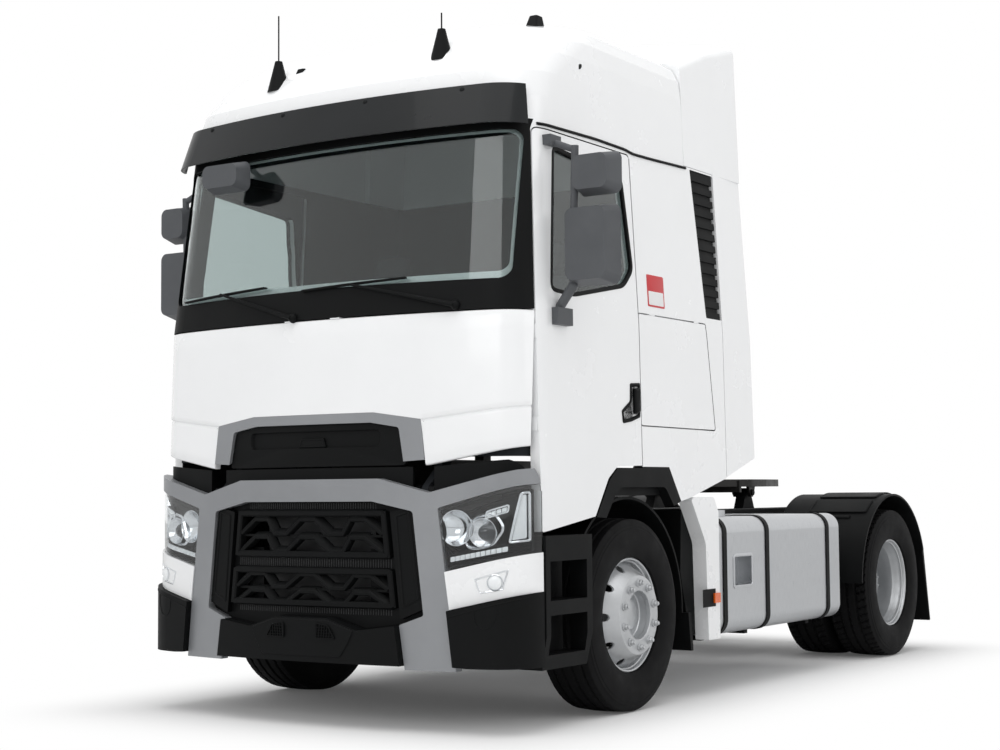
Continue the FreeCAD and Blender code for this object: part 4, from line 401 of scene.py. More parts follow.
def skin(form):
    # surface of (distance across, height, lift): for |across| up to the side it is the front view's x,
    # past that it is the distance behind the front axle plus sideOffset
    def surface(across, height, lift):
        nose = np.interp(height, form["heights"], form["noses"])
        half = np.interp(height, form["heights"], form["halves"])
        spread = noseArc - cornerArc
        reach = np.sqrt(spread ** 2 - (half - cornerArc) ** 2)
        middle = frontAxle - nose + noseArc
        lead = np.arcsin((half - cornerArc) / spread)
        sign = np.sign(across)
        onSide = np.abs(across) > sideOffset / 2
        x = np.minimum(np.abs(across), half - 1e-4)
        slow = np.arcsin(np.clip(x / noseArc, -1, 1))
        tight = np.arcsin(np.clip((x - half + cornerArc) / cornerArc, -1, 1))
        turn = np.where(slow < lead, slow, np.maximum(tight, lead))
        onNose = slow < lead
        outX = np.where(onNose, (noseArc + lift) * np.sin(turn),
                        half - cornerArc + (cornerArc + lift) * np.sin(turn))
        outY = np.where(onNose, middle - (noseArc + lift) * np.cos(turn),
                        middle - reach - (cornerArc + lift) * np.cos(turn))
        behind = np.abs(across) - sideOffset + frontAxle
        drop = np.clip((middle - reach - behind) / cornerArc, 0, 1)
        sideX = half - cornerArc + (cornerArc + lift) * np.sqrt(1 - drop ** 2)
        outX = np.where(onSide, sideX, outX)
        outY = np.where(onSide, behind - lift * drop, outY)
        return np.stack([outX * sign, outY, height + 0 * outX], -1)
    return surface


cabSkin, lampSkin, lowSkin = (skin(form) for form in (cabForm, lampForm, lowForm))


def sideSkin(side):
    # the cab's side as a surface of (distance behind the front axle, height, lift)
    return lambda behind, height, lift: cabSkin(side * (behind + sideOffset), height, lift)


# Tyres: a ring whose outer line is pressed in along the grooves

tyre = dict(radius=0.507, width=0.312, tread=0.262, bead=0.286, steps=300,
            frontMiddle=1.035, twinMiddles=(1.095, 0.750))


def tyreShape(middle, axleY, side, grooves):
    # outline: bead, bulged wall, rounded shoulder, tread; the depth of a groove is taken off the radius
    half, tread, top = tyre["width"] / 2, tyre["tread"] / 2, tyre["radius"]
    wall = np.array([(-0.108, tyre["bead"]), (-0.1085, 0.2985), (-0.124, 0.3000), (-0.134, 0.304),
                     (-0.147, 0.330), (-0.1545, 0.365), (-half, 0.395), (-0.1545, 0.425), (-0.150, 0.452),
                     (-0.1475, 0.4540), (-0.1455, 0.468), (-0.1430, 0.4700), (-0.139, 0.486),
                     (-tread - 0.002, 0.4975)])
    across = np.linspace(-tread, tread, 53)
    crown = top - 0.006 * (across / tread) ** 2
    outer = np.stack([across, crown], -1)
    profile = np.concatenate([wall, outer, wall[::-1] * (-1, 1)])
    steps = tyre["steps"]
    angle = np.linspace(0, 2 * math.pi, steps, endpoint=False)[:, None]
    turn = angle * tyre["radius"]
    x, r = profile[None, :, 0], profile[None, :, 1]
    onTread = (np.abs(x) <= tread + 1e-6) & (r > wall[-1, 1] - 0.002)
    depth = np.zeros((steps, len(profile)))
    for place, zig in grooves["round"]:
        line = place + zig * (np.abs((turn / 0.056) % 1 - 0.5) - 0.25)
        depth = np.maximum(depth, grooves["depth"] * np.clip((0.0075 - np.abs(x - line)) / 0.0025, 0, 1))
    cut = np.abs(((turn + grooves["slant"] * x) / grooves["pitch"]) % 1 - 0.5) * grooves["pitch"]
    slit = grooves["cut"] * np.clip((grooves["slit"] - cut) / 0.002, 0, 1)
    shoulder = np.abs(x) > grooves["slitsFrom"]
    depth = np.maximum(depth, np.where(shoulder, slit, 0))
    r = r - np.where(onTread, depth, 0)
    points = np.stack([middle + side * x + 0 * angle, axleY + r * np.cos(angle),
                       tyre["radius"] + r * np.sin(angle)], -1)
    faces = gridFaces(steps, len(profile), True, True)
    if side > 0:
        faces = faces[:, ::-1]
    return points.reshape(-1, 3), faces


ribTread = dict(round=((-0.088, 0.006), (-0.03, 0.006), (0.03, 0.006), (0.088, 0.006)), depth=0.013,
                slant=0.0, pitch=0.0265, slit=0.0016, cut=0.004, slitsFrom=0.096)
blockTread = dict(round=((-0.062, 0.010), (0.0, 0.010), (0.062, 0.010)), depth=0.016,
                  slant=0.35, pitch=0.0531, slit=0.0060, cut=0.014, slitsFrom=0.066)

for sideName, side in (("left", 1), ("right", -1)):
    addPiece(f"steer_tyre_{sideName}", tyreShape(side * tyre["frontMiddle"], frontAxle, side, ribTread),
             "tyre", f"front_wheel_{sideName}", 40, (f"front_tyre_{sideName}",))
    twins = [tyreShape(side * middle, rearAxle, side, blockTread) for middle in tyre["twinMiddles"]]
    addPiece(f"drive_tyres_{sideName}", joinShapes(*twins), "tyre", f"rear_wheels_{sideName}", 40,
             (f"rear_tyres_{sideName}",))
print("tyres made")


# Wheels: discs with hand holes, rims, nuts and hubs

wheel = dict(high=0.507, studs=10, studCircle=0.1675, holes=10, seat=0.286, flange=0.298, inside=0.278,
             well=0.262, halfWidth=0.122, plate=0.012, frontFlange=1.157, frontFace=1.214, twinMeet=0.9225,
             hubBolts=10, hubBoltCircle=0.095)
handHole = dict(at=0.2515, wide=0.021, tall=0.0175)


def alongSide(side, profile):
    # a profile of (distance from the centre line, radius) for one side of the truck
    return [(side * distance, radius) for distance, radius in profile]


def holedDisc(profile, inner, outer, centre, side):
    # each sector is a ring between a hand hole and the sector's own edge, mapped to (radius, angle)
    # and set at the depth that the profile gives; the back is the front moved in by its thickness
    steps, rows = 10, 6
    half = math.pi / wheel["holes"]
    angles = np.linspace(-half, half, steps, endpoint=False)
    radii = np.linspace(inner, outer, rows, endpoint=False)
    edge = np.concatenate([
        np.stack([angles, np.full(steps, inner)], -1),
        np.stack([np.full(rows, half), radii], -1),
        np.stack([-angles, np.full(steps, outer)], -1),
        np.stack([np.full(rows, -half), inner + outer - radii], -1)])
    middle = np.array([0, handHole["at"]])
    way = (edge - middle) * (handHole["at"], 1)
    reach = np.array((handHole["wide"], handHole["tall"])) / (handHole["at"], 1)
    rim = middle + way / np.linalg.norm(way, axis=1, keepdims=True) * reach
    share = np.array([1, 0.8, 0.55, 0.3, 0.1, 0, 0, 0.1, 0.3, 0.55, 0.8, 1])[:, None, None]
    depth = np.array([wheel["plate"]] * 6 + [0] * 6)[:, None]
    spot = rim + (edge - rim) * share
    distances, radii = np.asarray(profile, float)[::-1].T
    distance = np.interp(spot[..., 1], radii, distances) - depth
    shapes = []
    for sector in range(wheel["holes"]):
        angle = spot[..., 0] + (sector + 0.5) * 2 * half
        points = np.stack([side * distance, spot[..., 1] * np.sin(angle), spot[..., 1] * np.cos(angle)], -1)
        faces = gridFaces(len(share), len(edge), False, True).tolist()
        shapes.append(((points + centre).reshape(-1, 3), faces))
    return joinShapes(*shapes)


def aroundAxle(count, radius):
    angle = np.arange(count) * 2 * math.pi / count
    return np.stack([0 * angle, np.sin(angle), np.cos(angle)], -1) * radius


def nutRing(centre, side, face, tall):
    # hexagon nuts on round collars, each with its stud's end
    axis = (side, 0, 0)
    collar = [(0, 0), (0, 0.0225), (0.006, 0.0225), (0.0075, 0.021), (0.0075, 0)]
    nut = [(0.004, 0), (0.004, 0.0175), (tall - 0.006, 0.0175), (tall, 0.0135), (tall, 0)]
    stud = [(0.01, 0), (0.01, 0.010), (tall + 0.007, 0.010), (tall + 0.009, 0.0075), (tall + 0.009, 0)]
    one = joinShapes(*[turned(profile, steps, (0, 0, 0), axis)
                       for profile, steps in ((collar, 20), (nut, 6), (stud, 12))])
    return copies(one, aroundAxle(wheel["studs"], wheel["studCircle"]) + centre + np.array((side * face, 0, 0)))


def rimBarrel(middle, outward, centre, side):
    # closed section of a drop-centre rim; distances are from the closed lip or the open lip
    seat, flange, inside, well = (wheel[key] for key in ("seat", "flange", "inside", "well"))
    closedLip = [(0, flange), (0.010, flange), (0.012, seat + 0.002), (0.05, seat - 0.001)]
    openLip = [(0.05, seat - 0.001), (0.014, seat + 0.002), (0.010, flange), (0.002, flange + 0.001),
               (0, flange - 0.003), (0.002, inside + 0.011), (0.008, inside + 0.008), (0.020, inside + 0.006),
               (0.024, inside + 0.001), (0.046, inside), (0.052, inside - 0.004), (0.070, inside - 0.005)]
    low, high = (middle - outward * wheel["halfWidth"], middle + outward * wheel["halfWidth"])
    line = [(low + outward * a, r) for a, r in closedLip]
    line += [(middle + outward * a, well + 0.008) for a in (-0.03, 0.03)]
    line += [(high - outward * a, r) for a, r in openLip]
    line += [(middle + outward * a, r) for a, r in ((0.035, well + 0.001), (0.03, well), (-0.03, well))]
    line += [(low + outward * 0.05, inside), (low, inside)]
    return turned(alongSide(side, line), 120, centre, closed=True)


def frontRim(side):
    # the disc rises as a cone with hand holes to the nut ring; the hub's mouth is open
    centre = np.array((0, frontAxle, wheel["high"]))
    flange, face, joint = wheel["frontFlange"], wheel["frontFace"], 0.222
    profile = [(flange - 0.052, 0.2785), (flange - 0.044, 0.2755), (flange - 0.034, 0.268),
               (flange - 0.008, 0.250), (flange + 0.022, 0.2300), (flange + 0.036, 0.2200),
               (face - 0.008, 0.2110), (face - 0.002, 0.2060), (face, 0.199)]
    disc = holedDisc(profile, joint, 0.2785, centre, side)
    distances, radii = np.array(profile)[::-1].T
    edge = float(np.interp(joint, radii, distances))
    ring = [(edge - wheel["plate"], joint), (face - 0.026, 0.200), (face - 0.026, 0.126), (face - 0.003, 0.126),
            (face, 0.129), (face, 0.199), (face - 0.002, 0.206), (face - 0.008, 0.211), (edge, joint)]
    hub = [(1.000, 0.0), (1.000, 0.118), (1.120, 0.120), (1.150, 0.150), (1.178, 0.185), (1.187, 0.185),
           (1.187, 0.1255), (1.150, 0.1245), (1.146, 0.119), (1.146, 0.090), (1.150, 0.082), (1.158, 0.078),
           (1.162, 0.060), (1.164, 0.0)]
    return joinShapes(rimBarrel(tyre["frontMiddle"], 1, centre, side), disc,
                      turned(alongSide(side, ring), 100, centre), turned(alongSide(side, hub), 72, centre),
                      nutRing(centre, side, face, 0.022))


def rearRims(side):
    # two dished discs back to back, bolted to the hub between them
    centre = np.array((0, rearAxle, wheel["high"]))
    meet = wheel["twinMeet"]
    shapes = [rimBarrel(middle, out, centre, side) for middle, out in zip(tyre["twinMiddles"], (1, -1))]
    dish = [(0.096, 0.2785), (0.07, 0.272), (0.035, 0.252), (0.018, 0.236), (0.012, 0.215), (0.012, 0.14)]
    for out in (1, -1):
        front = [(meet + out * a, r) for a, r in dish]
        back = [(a - out * 0.011, r) for a, r in front[::-1]]
        shapes.append(turned(alongSide(side, front + back), 100, centre, closed=True))
    hub = [(-0.11, 0.0), (-0.11, 0.13), (-0.02, 0.14), (0.02, 0.142), (0.028, 0.134), (0.14, 0.124),
           (0.156, 0.116), (0.162, 0.104), (0.162, 0.0)]
    bolt = [(0.161, 0), (0.161, 0.008), (0.170, 0.008), (0.170, 0)]
    hubPart, boltPart = (turned(alongSide(side, [(meet + a, r) for a, r in line]), steps, centre)
                         for line, steps in ((hub, 72), (bolt, 6)))
    return joinShapes(*shapes, hubPart, copies(boltPart, aroundAxle(wheel["hubBolts"], wheel["hubBoltCircle"])),
                      nutRing(centre, side, meet + 0.012, 0.024))


for sideName, side in (("left", 1), ("right", -1)):
    addPiece(f"steer_rim_{sideName}", frontRim(side), "wheel_steel", f"front_wheel_{sideName}", 32,
             (f"front_rim_{sideName}",))
    addPiece(f"drive_rims_{sideName}", rearRims(side), "wheel_steel", f"rear_wheels_{sideName}", 32,
             (f"rear_rims_{sideName}",))
print("wheels made")


# Front flap: one skin with the crease that runs out from its arch, and the black panel in the arch

flapPlan = dict(top=2.0365, low=1.290, outer=1.382, seamIn=1.513, seamOut=1.572, thick=0.030,
                archInside=0.664, archOutside=0.692, archFoot=1.5165, archTop=1.5565, archFlat=0.392)


def flapSkin():
    # columns across, rows up: the lower edge follows the arch; at the crease the skin dips by
    # 9 mm, and below it the panel stands 4 mm back with a rounded lip above
    inside, outside, top = (flapPlan[key] for key in ("archInside", "archOutside", "top"))
    corners = np.array((inside, 0.670, outside - 0.0001, outside + 0.0005, flapPlan["archFlat"], 0.374, 0.68))
    across = np.unique(np.concatenate([np.linspace(-1.185, 1.185, 121), corners, -corners]))
    far = np.abs(across)
    crease = np.interp(far, (inside, 1.19), (flapPlan["seamIn"], flapPlan["seamOut"]))
    foot = flapPlan["archFoot"]
    arch = np.interp(far, (0.0, flapPlan["archFlat"], inside), (flapPlan["archTop"], flapPlan["archTop"], foot))
    lowest = np.interp(far, (0.70, 1.2185), (flapPlan["low"], flapPlan["outer"]))
    leg = np.interp(far, (inside, outside), (foot, flapPlan["low"]))
    lowest = np.where(far < inside, arch, np.where(far < outside, leg, lowest))
    below = np.maximum(crease - lowest, 0.0)
    creased = below > 0.02
    rows = [lowest + below * one for one in (0, 0.02, 0.05, 0.3, 0.6, 0.9)]
    lifts = [np.where(creased, lift, 0) for lift in (-0.012, -0.006, -0.004, -0.004, -0.004, -0.004)]
    start = np.where(creased, crease, lowest)
    drops = np.where(creased, 1.0, 0.0)
    groove = ((-0.010, -0.0045), (-0.004, -0.009), (0.0, -0.009), (0.003, -0.003), (0.009, 0.0), (0.03, 0.0))
    for up, lift in groove:
        rows.append(start + np.maximum(up, -below) * drops + (1 - drops) * max(up, 0))
        lifts.append(lift * drops)
    for one in (0.2, 0.4, 0.6, 0.8, 0.985, 1.0):
        rows.append(start + 0.03 + (top - start - 0.03) * one)
        lifts.append(np.full(len(across), -0.004 if one == 1.0 else 0.0))
    up, lift = np.array(rows), np.array(lifts)
    front = cabSkin(np.broadcast_to(across, up.shape), up, lift)
    back = cabSkin(np.broadcast_to(across, up.shape), up, lift - flapPlan["thick"])
    grid = np.concatenate([front, back[::-1]])
    count = len(up)
    firstEnd = np.arange(2 * count) * len(across)
    sides = []
    for end in (firstEnd, firstEnd + len(across) - 1):
        sides += [[int(end[i]), int(end[i + 1]), int(end[2 * count - 2 - i]), int(end[2 * count - 1 - i])]
                  for i in range(count - 1)]
    return grid.reshape(-1, 3), gridFaces(2 * count, len(across), True, False).tolist() + sides


addPiece("flap_skin", flapSkin(), "white_paint", "front_flap", 40, ("front_flap",))

panelPlan = dict(
    edge=[(-0.577, 1.291), (0.577, 1.291), (0.540, 1.478), (0.373, 1.505), (-0.373, 1.505), (-0.540, 1.478)],
    recess=[(-0.428, 1.386), (0.428, 1.386), (0.428, 1.472), (-0.428, 1.472)],
    handle=[(-0.090, 1.389), (0.090, 1.389), (0.074, 1.437), (-0.074, 1.437)],
    handleRings=((0, -0.034), (0, -0.021), (0.003, -0.018), (0.010, -0.018), (0.012, -0.020), (0.016, -0.020)),
    middle=1.43, count=240)


def aboutMiddle(loop):
    # the loop's points at even turns about the panel's middle, so that two loops pair up
    count = panelPlan["count"]
    loop = evenly(np.vstack([loop, loop[:1]]), count)[:-1]
    angle = np.arctan2(loop[:, 1] - panelPlan["middle"], loop[:, 0] * 0.2) % (2 * math.pi)
    order = np.argsort(angle)
    turn = np.linspace(0, 2 * math.pi, count, endpoint=False)
    return np.stack([np.interp(turn, angle[order], loop[order, k], period=2 * math.pi) for k in (0, 1)], -1)


def flapPanel():
    # a band between the panel's edge and its recess, then the recess's wall and floor
    wide = aboutMiddle(rounded(panelPlan["edge"], 0.016, 260))
    recess = aboutMiddle(rounded(panelPlan["recess"], 0.030, 200))
    middle = recess.mean(0)
    rings = [(wide, -0.040), (wide, -0.019), (wide + (middle - wide) * 0.006, -0.0165), (recess, -0.0165),
             (recess + (middle - recess) * 0.006, -0.019), (recess + (middle - recess) * 0.02, -0.031)]
    rings += [(middle + (recess - middle) * share, -0.031) for share in (0.7, 0.4, 0.15)]
    grid = [cabSkin(ring[:, 0], ring[:, 1], lift) for ring, lift in rings]
    count = panelPlan["count"]
    faces = gridFaces(len(rings), count, False, True).tolist()
    faces += [list(range(count))[::-1], list(range(count * (len(rings) - 1), count * len(rings)))]
    return np.concatenate(grid), faces


handle = relief(rounded(panelPlan["handle"], 0.006, 80), panelPlan["handleRings"], cabSkin)
addPiece("flap_panel", joinShapes(flapPanel(), handle), "black_plastic", "front_flap", 30, ("flap_grille",))
print("flap made")


# Head lamps: housing, reflector bowls, light guides and projector lens

def mirrored(shape):
    return joinShapes(shape, mirrorShape(shape))


def outwards(surface, across, height, lift=0.0):
    # a point over a surface and the way that leads straight out of it
    centre, ahead = surface(np.array([across] * 2), np.array([height] * 2), np.array([lift, lift + 1.0]))
    return centre, ahead - centre


def bowl(surface, across, height, radius, deep):
    # a turned reflector that opens along the skin's own direction
    t = np.linspace(0, 1, 10)
    inside = np.stack([-deep + (deep - 0.012) * t ** 2, radius * t], -1)
    rim = [(-0.010, radius + 0.002), (-0.010, radius + 0.005), (-0.016, radius + 0.006)]
    back = np.stack([-deep - 0.004 + (deep - 0.014) * t ** 2, (radius + 0.006) * t], -1)[::-1]
    return turned(np.concatenate([inside, rim, back]), 48, *outwards(surface, across, height))


def dome(surface, across, height, radius, lift, tall, steps=32):
    # a low dome on a short collar, standing on a skin
    t = np.linspace(0, math.pi / 2, 8)
    profile = [(-0.008, 0), (-0.008, radius)] + list(zip(tall * np.sin(t), radius * np.cos(t)))
    return turned(profile, steps, *outwards(surface, across, height, lift))


headLamp = dict(
    edge=[(0.786, 1.070), (1.100, 1.152), (1.2045, 1.174), (1.2045, 0.872), (1.130, 0.852), (0.823, 0.790)],
    edgeRings=((0, -0.088), (0, -0.0085), (0.006, -0.0085), (0.010, -0.060), (0.030, -0.072)),
    wedge=[(0.790, 0.905), (0.860, 0.868), (1.120, 0.915), (1.128, 0.880), (0.826, 0.815)],
    wedgeRings=((0, -0.060), (0, -0.022), (0.004, -0.018), (0.010, -0.018)),
    brow=[(0.790, 1.066), (1.095, 1.146), (1.110, 1.120), (1.015, 1.095), (0.940, 1.066), (0.870, 1.062)],
    browRings=((0, -0.060), (0, -0.018), (0.004, -0.014), (0.010, -0.016)),
    bowls=((0.868, 0.985, 0.082, 0.062), (1.004, 0.962, 0.066, 0.046)),
    eyelid=[(0.905, 0.905), (0.955, 1.035), (1.06, 1.055), (1.105, 0.985), (1.05, 0.905), (0.96, 0.885)],
    eyelidForm=[(-0.010, -0.060), (-0.008, -0.020), (0.0, -0.012), (0.010, -0.020), (0.012, -0.060)],
    guideRim=[(1.128, 0.915), (1.172, 1.150), (1.197, 1.155), (1.197, 0.925)],
    guideForm=[(-0.005, -0.050), (-0.005, -0.012), (0.0, -0.009), (0.005, -0.012), (0.005, -0.050)],
    guide=[(1.137, 0.925), (1.177, 1.142), (1.189, 1.145), (1.189, 0.935)],
    guideRings=((0, -0.03), (0, -0.020), (0.003, -0.018)),
    rowRim=[(1.018, 1.030), (1.024, 1.062), (1.126, 1.094), (1.122, 1.062)],
    rowForm=[(-0.004, -0.05), (-0.004, -0.012), (0.004, -0.012), (0.004, -0.05)],
    rowLights=((1.024, 1.036), (1.048, 1.0435), (1.072, 1.051), (1.096, 1.0585)),
    rowRings=((0, -0.03), (0, -0.016), (0.002, -0.014)),
    stripFrom=0.835, stripTo=1.10, stripPitch=0.0262, stripLow=0.812, stripSlope=0.185,
    stripRings=((0, -0.03), (0, -0.014), (0.002, -0.012)),
    projector=(1.004, 0.962, 0.036, -0.044, 0.026))


def lampHousing():
    tray = relief(rounded(headLamp["edge"], 0.010, 160), headLamp["edgeRings"], lampSkin)
    wedge = relief(rounded(headLamp["wedge"], 0.004, 120), headLamp["wedgeRings"], lampSkin)
    brow = relief(rounded(headLamp["brow"], 0.006, 120), headLamp["browRings"], lampSkin)
    return joinShapes(tray, wedge, brow)


def lampBowls():
    shapes = [bowl(lampSkin, *plan) for plan in headLamp["bowls"]]
    for line, form, ease, count in (("eyelid", "eyelidForm", 0.03, 120), ("guideRim", "guideForm", 0.008, 120),
                                    ("rowRim", "rowForm", 0.006, 80)):
        shapes.append(bead(rounded(headLamp[line], ease, count), headLamp[form], lampSkin, closed=True))
    return joinShapes(*shapes)


def lampLights():
    # a short row of lights, a strip of small ones below and the slanted light guide
    shapes = []
    for x, z in headLamp["rowLights"]:
        corners = [(x, z), (x + 0.021, z + 0.006), (x + 0.023, z + 0.026), (x + 0.002, z + 0.020)]
        shapes.append(relief(rounded(corners, 0.003, 24), headLamp["rowRings"], lampSkin))
    for x in np.arange(headLamp["stripFrom"], headLamp["stripTo"], headLamp["stripPitch"]):
        z = headLamp["stripLow"] + (x - 0.79) * headLamp["stripSlope"]
        corners = [(x, z), (x + 0.024, z + 0.0045), (x + 0.024, z + 0.0285), (x, z + 0.024)]
        shapes.append(relief(rounded(corners, 0.002, 20), headLamp["stripRings"], lampSkin))
    shapes.append(relief(rounded(headLamp["guide"], 0.006, 100), headLamp["guideRings"], lampSkin))
    return joinShapes(*shapes)


# frosted polycarbonate of the light guides
lensMilk = coated("frostedPolycarbonate", dict(
    colour="F2F4F5", shade="E8ECEE", roughness=(0.2, 0.3), mottleMm=40, grainMm=4,
    depthMm=0.4, strength=0.3, coat=0.5))
# dark optical glass of the projector lens
lensDark = coated("opticalGlassDark", dict(
    colour="1B2024", shade="14181B", roughness=(0.02, 0.05), mottleMm=60, grainMm=8,
    depthMm=0.1, strength=0.05, coat=1.0))
addPiece("lamp_housings", mirrored(lampHousing()), "black_plastic", "chassis", 30, ("lamp_units",))
addPiece("lamp_bowls", mirrored(lampBowls()), "reflector", "chassis", 35)
addPiece("lamp_light_guides", mirrored(lampLights()), "clear_lens", "chassis", 35, finish=lensMilk)
addPiece("lamp_projectors", mirrored(dome(lampSkin, *headLamp["projector"])), "clear_lens", "chassis", 40,
         finish=lensDark)


# Fog lamps and the bumper's small forms

fogLamp = dict(
    edge=[(0.972, 0.744), (1.132, 0.790), (1.108, 0.692), (0.997, 0.673)],
    rings=((0, -0.012), (0, 0.0015), (0.003, 0.003), (0.007, 0.002), (0.012, -0.0075), (0.016, -0.009)),
    ring=[(-0.02, 0), (-0.02, 0.038), (0.004, 0.040), (0.006, 0.037), (0.002, 0.034), (0.0, 0)],
    middle=(1.073, 0.727), lens=(0.034, 0.002, 0.010))
cornerSkin = skin(dict(heights=(0, 3), noses=(1.268, 1.268), halves=(1.225, 1.225)))
fogPan = relief(rounded(fogLamp["edge"], 0.006, 90), fogLamp["rings"], cornerSkin)
fogRing = turned(fogLamp["ring"], 40, *outwards(cornerSkin, *fogLamp["middle"]))
fogLens = dome(cornerSkin, *fogLamp["middle"], *fogLamp["lens"])
addPiece("fog_lamp_pans", mirrored(joinShapes(fogPan, fogRing)), "reflector", "chassis", 35)
addPiece("fog_lamp_lenses", mirrored(fogLens), "clear_lens", "chassis", 40, finish=lensMilk)
print("lamps made")

bumper = dict(
    groove=[(-0.0035, -0.004), (-0.0035, 0.0008), (-0.0015, 0.0022), (0.0015, 0.0022), (0.0035, 0.0008),
            (0.0035, -0.004)],
    towLine=[(0.985, 0.600), (0.992, 0.530), (1.030, 0.506), (1.066, 0.516), (1.092, 0.560), (1.096, 0.622)],
    shelfLine=[(0.852, 0.560), (1.205, 0.655)],
    valance=[(-0.170, 0.532), (0.170, 0.532), (0.330, 0.482), (0.300, 0.420), (0.250, 0.348),
             (-0.250, 0.348), (-0.300, 0.420), (-0.330, 0.482)],
    valanceRings=((0, -0.004), (0, 0.002), (0.004, 0.006), (0.012, 0.006)),
    rimForm=[(-0.003, 0.002), (-0.003, 0.009), (0.003, 0.009), (0.003, 0.002)],
    uprightForm=[(-0.002, 0.002), (-0.002, 0.008), (0.002, 0.008), (0.002, 0.002)],
    levelForm=[(-0.002, 0.002), (-0.002, 0.007), (0.002, 0.007), (0.002, 0.002)],
    ventFrom=0.105, barFrom=0.108, barPitch=0.016, bars=6, levels=(0.452, 0.466, 0.480, 0.494))


def meshVent(side):
    # a rim with crossed bars: the uprights end under its sloping top
    x = side * bumper["ventFrom"]
    corners = [(x, 0.440), (x + side * 0.115, 0.440), (x + side * 0.075, 0.505), (x, 0.515)]
    shapes = [bead(rounded(corners, 0.008, 60), bumper["rimForm"], lowSkin, closed=True)]
    for step in range(bumper["bars"]):
        x = side * (bumper["barFrom"] + bumper["barPitch"] * step)
        top = float(np.interp(abs(x), (0.105, 0.180, 0.220), (0.512, 0.503, 0.442)))
        shapes.append(bead([(x, 0.443), (x + side * 0.006, top)], bumper["uprightForm"], lowSkin))
    for z in bumper["levels"]:
        ends = [(side * bumper["barFrom"], z), (side * (0.205 - (z - 0.452)), z)]
        shapes.append(bead(ends, bumper["levelForm"], lowSkin))
    return joinShapes(*shapes)


def bumperDetails():
    towCover = bead(rounded(bumper["towLine"], 0.03, 60, closed=False), bumper["groove"], lowSkin)
    shelf = bead(rounded(bumper["shelfLine"], 0.01, 30, closed=False), bumper["groove"], lowSkin)
    valance = relief(rounded(bumper["valance"], 0.012, 160), bumper["valanceRings"], lowSkin)
    return joinShapes(mirrored(joinShapes(towCover, shelf)), valance, meshVent(1), meshVent(-1))


addPiece("bumper_details", bumperDetails(), "black_plastic", "chassis", 30)


# Grille: bold ribs with sloping tops over the source's lattice, frames and radiator fins

grilleSkin = skin(dict(heights=(0, 3), noses=(1.248, 1.248), halves=(1.225, 1.225)))
grille = dict(
    rib=[(-0.016, -0.040), (-0.014, -0.008), (-0.011, -0.003), (0.002, -0.001), (0.007, -0.004),
         (0.026, -0.030), (0.026, -0.040)],
    frame=[(-0.020, -0.040), (-0.017, -0.004), (-0.011, 0.0025), (0.009, 0.0025), (0.015, -0.004),
           (0.020, -0.040)],
    trays=(dict(frame=[(-0.466, 1.058), (0.466, 1.058), (0.490, 0.849), (-0.490, 0.849)],
                rows=((1.034, 0.962), (0.944, 0.872)), corners=(0.048, 0.140, 0.222, 0.268, 0.358, 0.462)),
           dict(frame=[(-0.502, 0.769), (0.502, 0.769), (0.522, 0.604), (-0.522, 0.604)],
                rows=((0.757, 0.692), (0.672, 0.612)), corners=(0.050, 0.146, 0.230, 0.290, 0.386, 0.494))),
    finPitch=0.015, finHeight=0.006, finBack=0.034, finBands=((0.42, 1.072, 1.108), (0.50, 0.785, 0.832),
                                                            (0.50, 0.556, 0.588)),
    cheek=[(0.535, 1.048), (0.618, 1.072), (0.672, 0.640), (0.575, 0.592)],
    cheekRings=((0, -0.003), (0, 0.002), (0.004, 0.004), (0.010, 0.004), (0.014, -0.001), (0.018, -0.002)))


def lattice():
    # each rib goes high, low, low, high, high, low from the middle outwards
    shapes = []
    for plan in grille["trays"]:
        shapes.append(bead(rounded(plan["frame"], 0.008, 160), grille["frame"], grilleSkin, closed=True))
        for high, low in plan["rows"]:
            heights = np.array((high, low, low, high, high, low)) - 0.006
            half = np.stack([plan["corners"], heights], -1)
            line = np.concatenate([half[::-1] * (-1, 1), half])
            parts = [np.linspace(a, b, 5, endpoint=False) for a, b in zip(line[:-1], line[1:])]
            shapes.append(bead(np.concatenate(parts + [line[-1:]]), grille["rib"], grilleSkin))
    return joinShapes(*shapes)


def fins(reach, low, high):
    # a sheet pressed into upright fins: its lift is a trapezium wave across
    across = np.arange(-reach, reach, 0.0025)
    wave = np.clip(np.abs((across / grille["finPitch"]) % 1 - 0.5) * 4 - 1, -0.6, 0.6)
    wave = wave * grille["finHeight"] - grille["finBack"]
    rows = [(low, -0.006), (low, 0.0), (high, 0.0), (high, -0.006)]
    grid = np.stack([grilleSkin(across, np.full(len(across), z), wave + more) for z, more in rows])
    count = len(across)
    faces = gridFaces(4, count, True, False).tolist()
    faces += [[end + row * count for row in range(4)] for end in (0, count - 1)]
    return grid.reshape(-1, 3), faces


cheek = relief(rounded(grille["cheek"], 0.010, 140), grille["cheekRings"], grilleSkin)
# air guides that close the space between the radiator and the front bar
airGuide = block((0.44, -2.505, 0.80), (0.66, -2.490, 0.99), 0.003)
addPiece("grille_lattice", lattice(), "black_plastic", "chassis", 28)
addPiece("radiator_fins", joinShapes(*[fins(*band) for band in grille["finBands"]]), "radiator", "chassis", 30)
addPiece("grille_cheeks", mirrored(cheek), "black_plastic", "chassis", 30)
addPiece("air_guides", mirrored(airGuide), "black_plastic", "chassis")
print("grille made")


# Windscreen: wipers; visor: screws; roof: side lamps

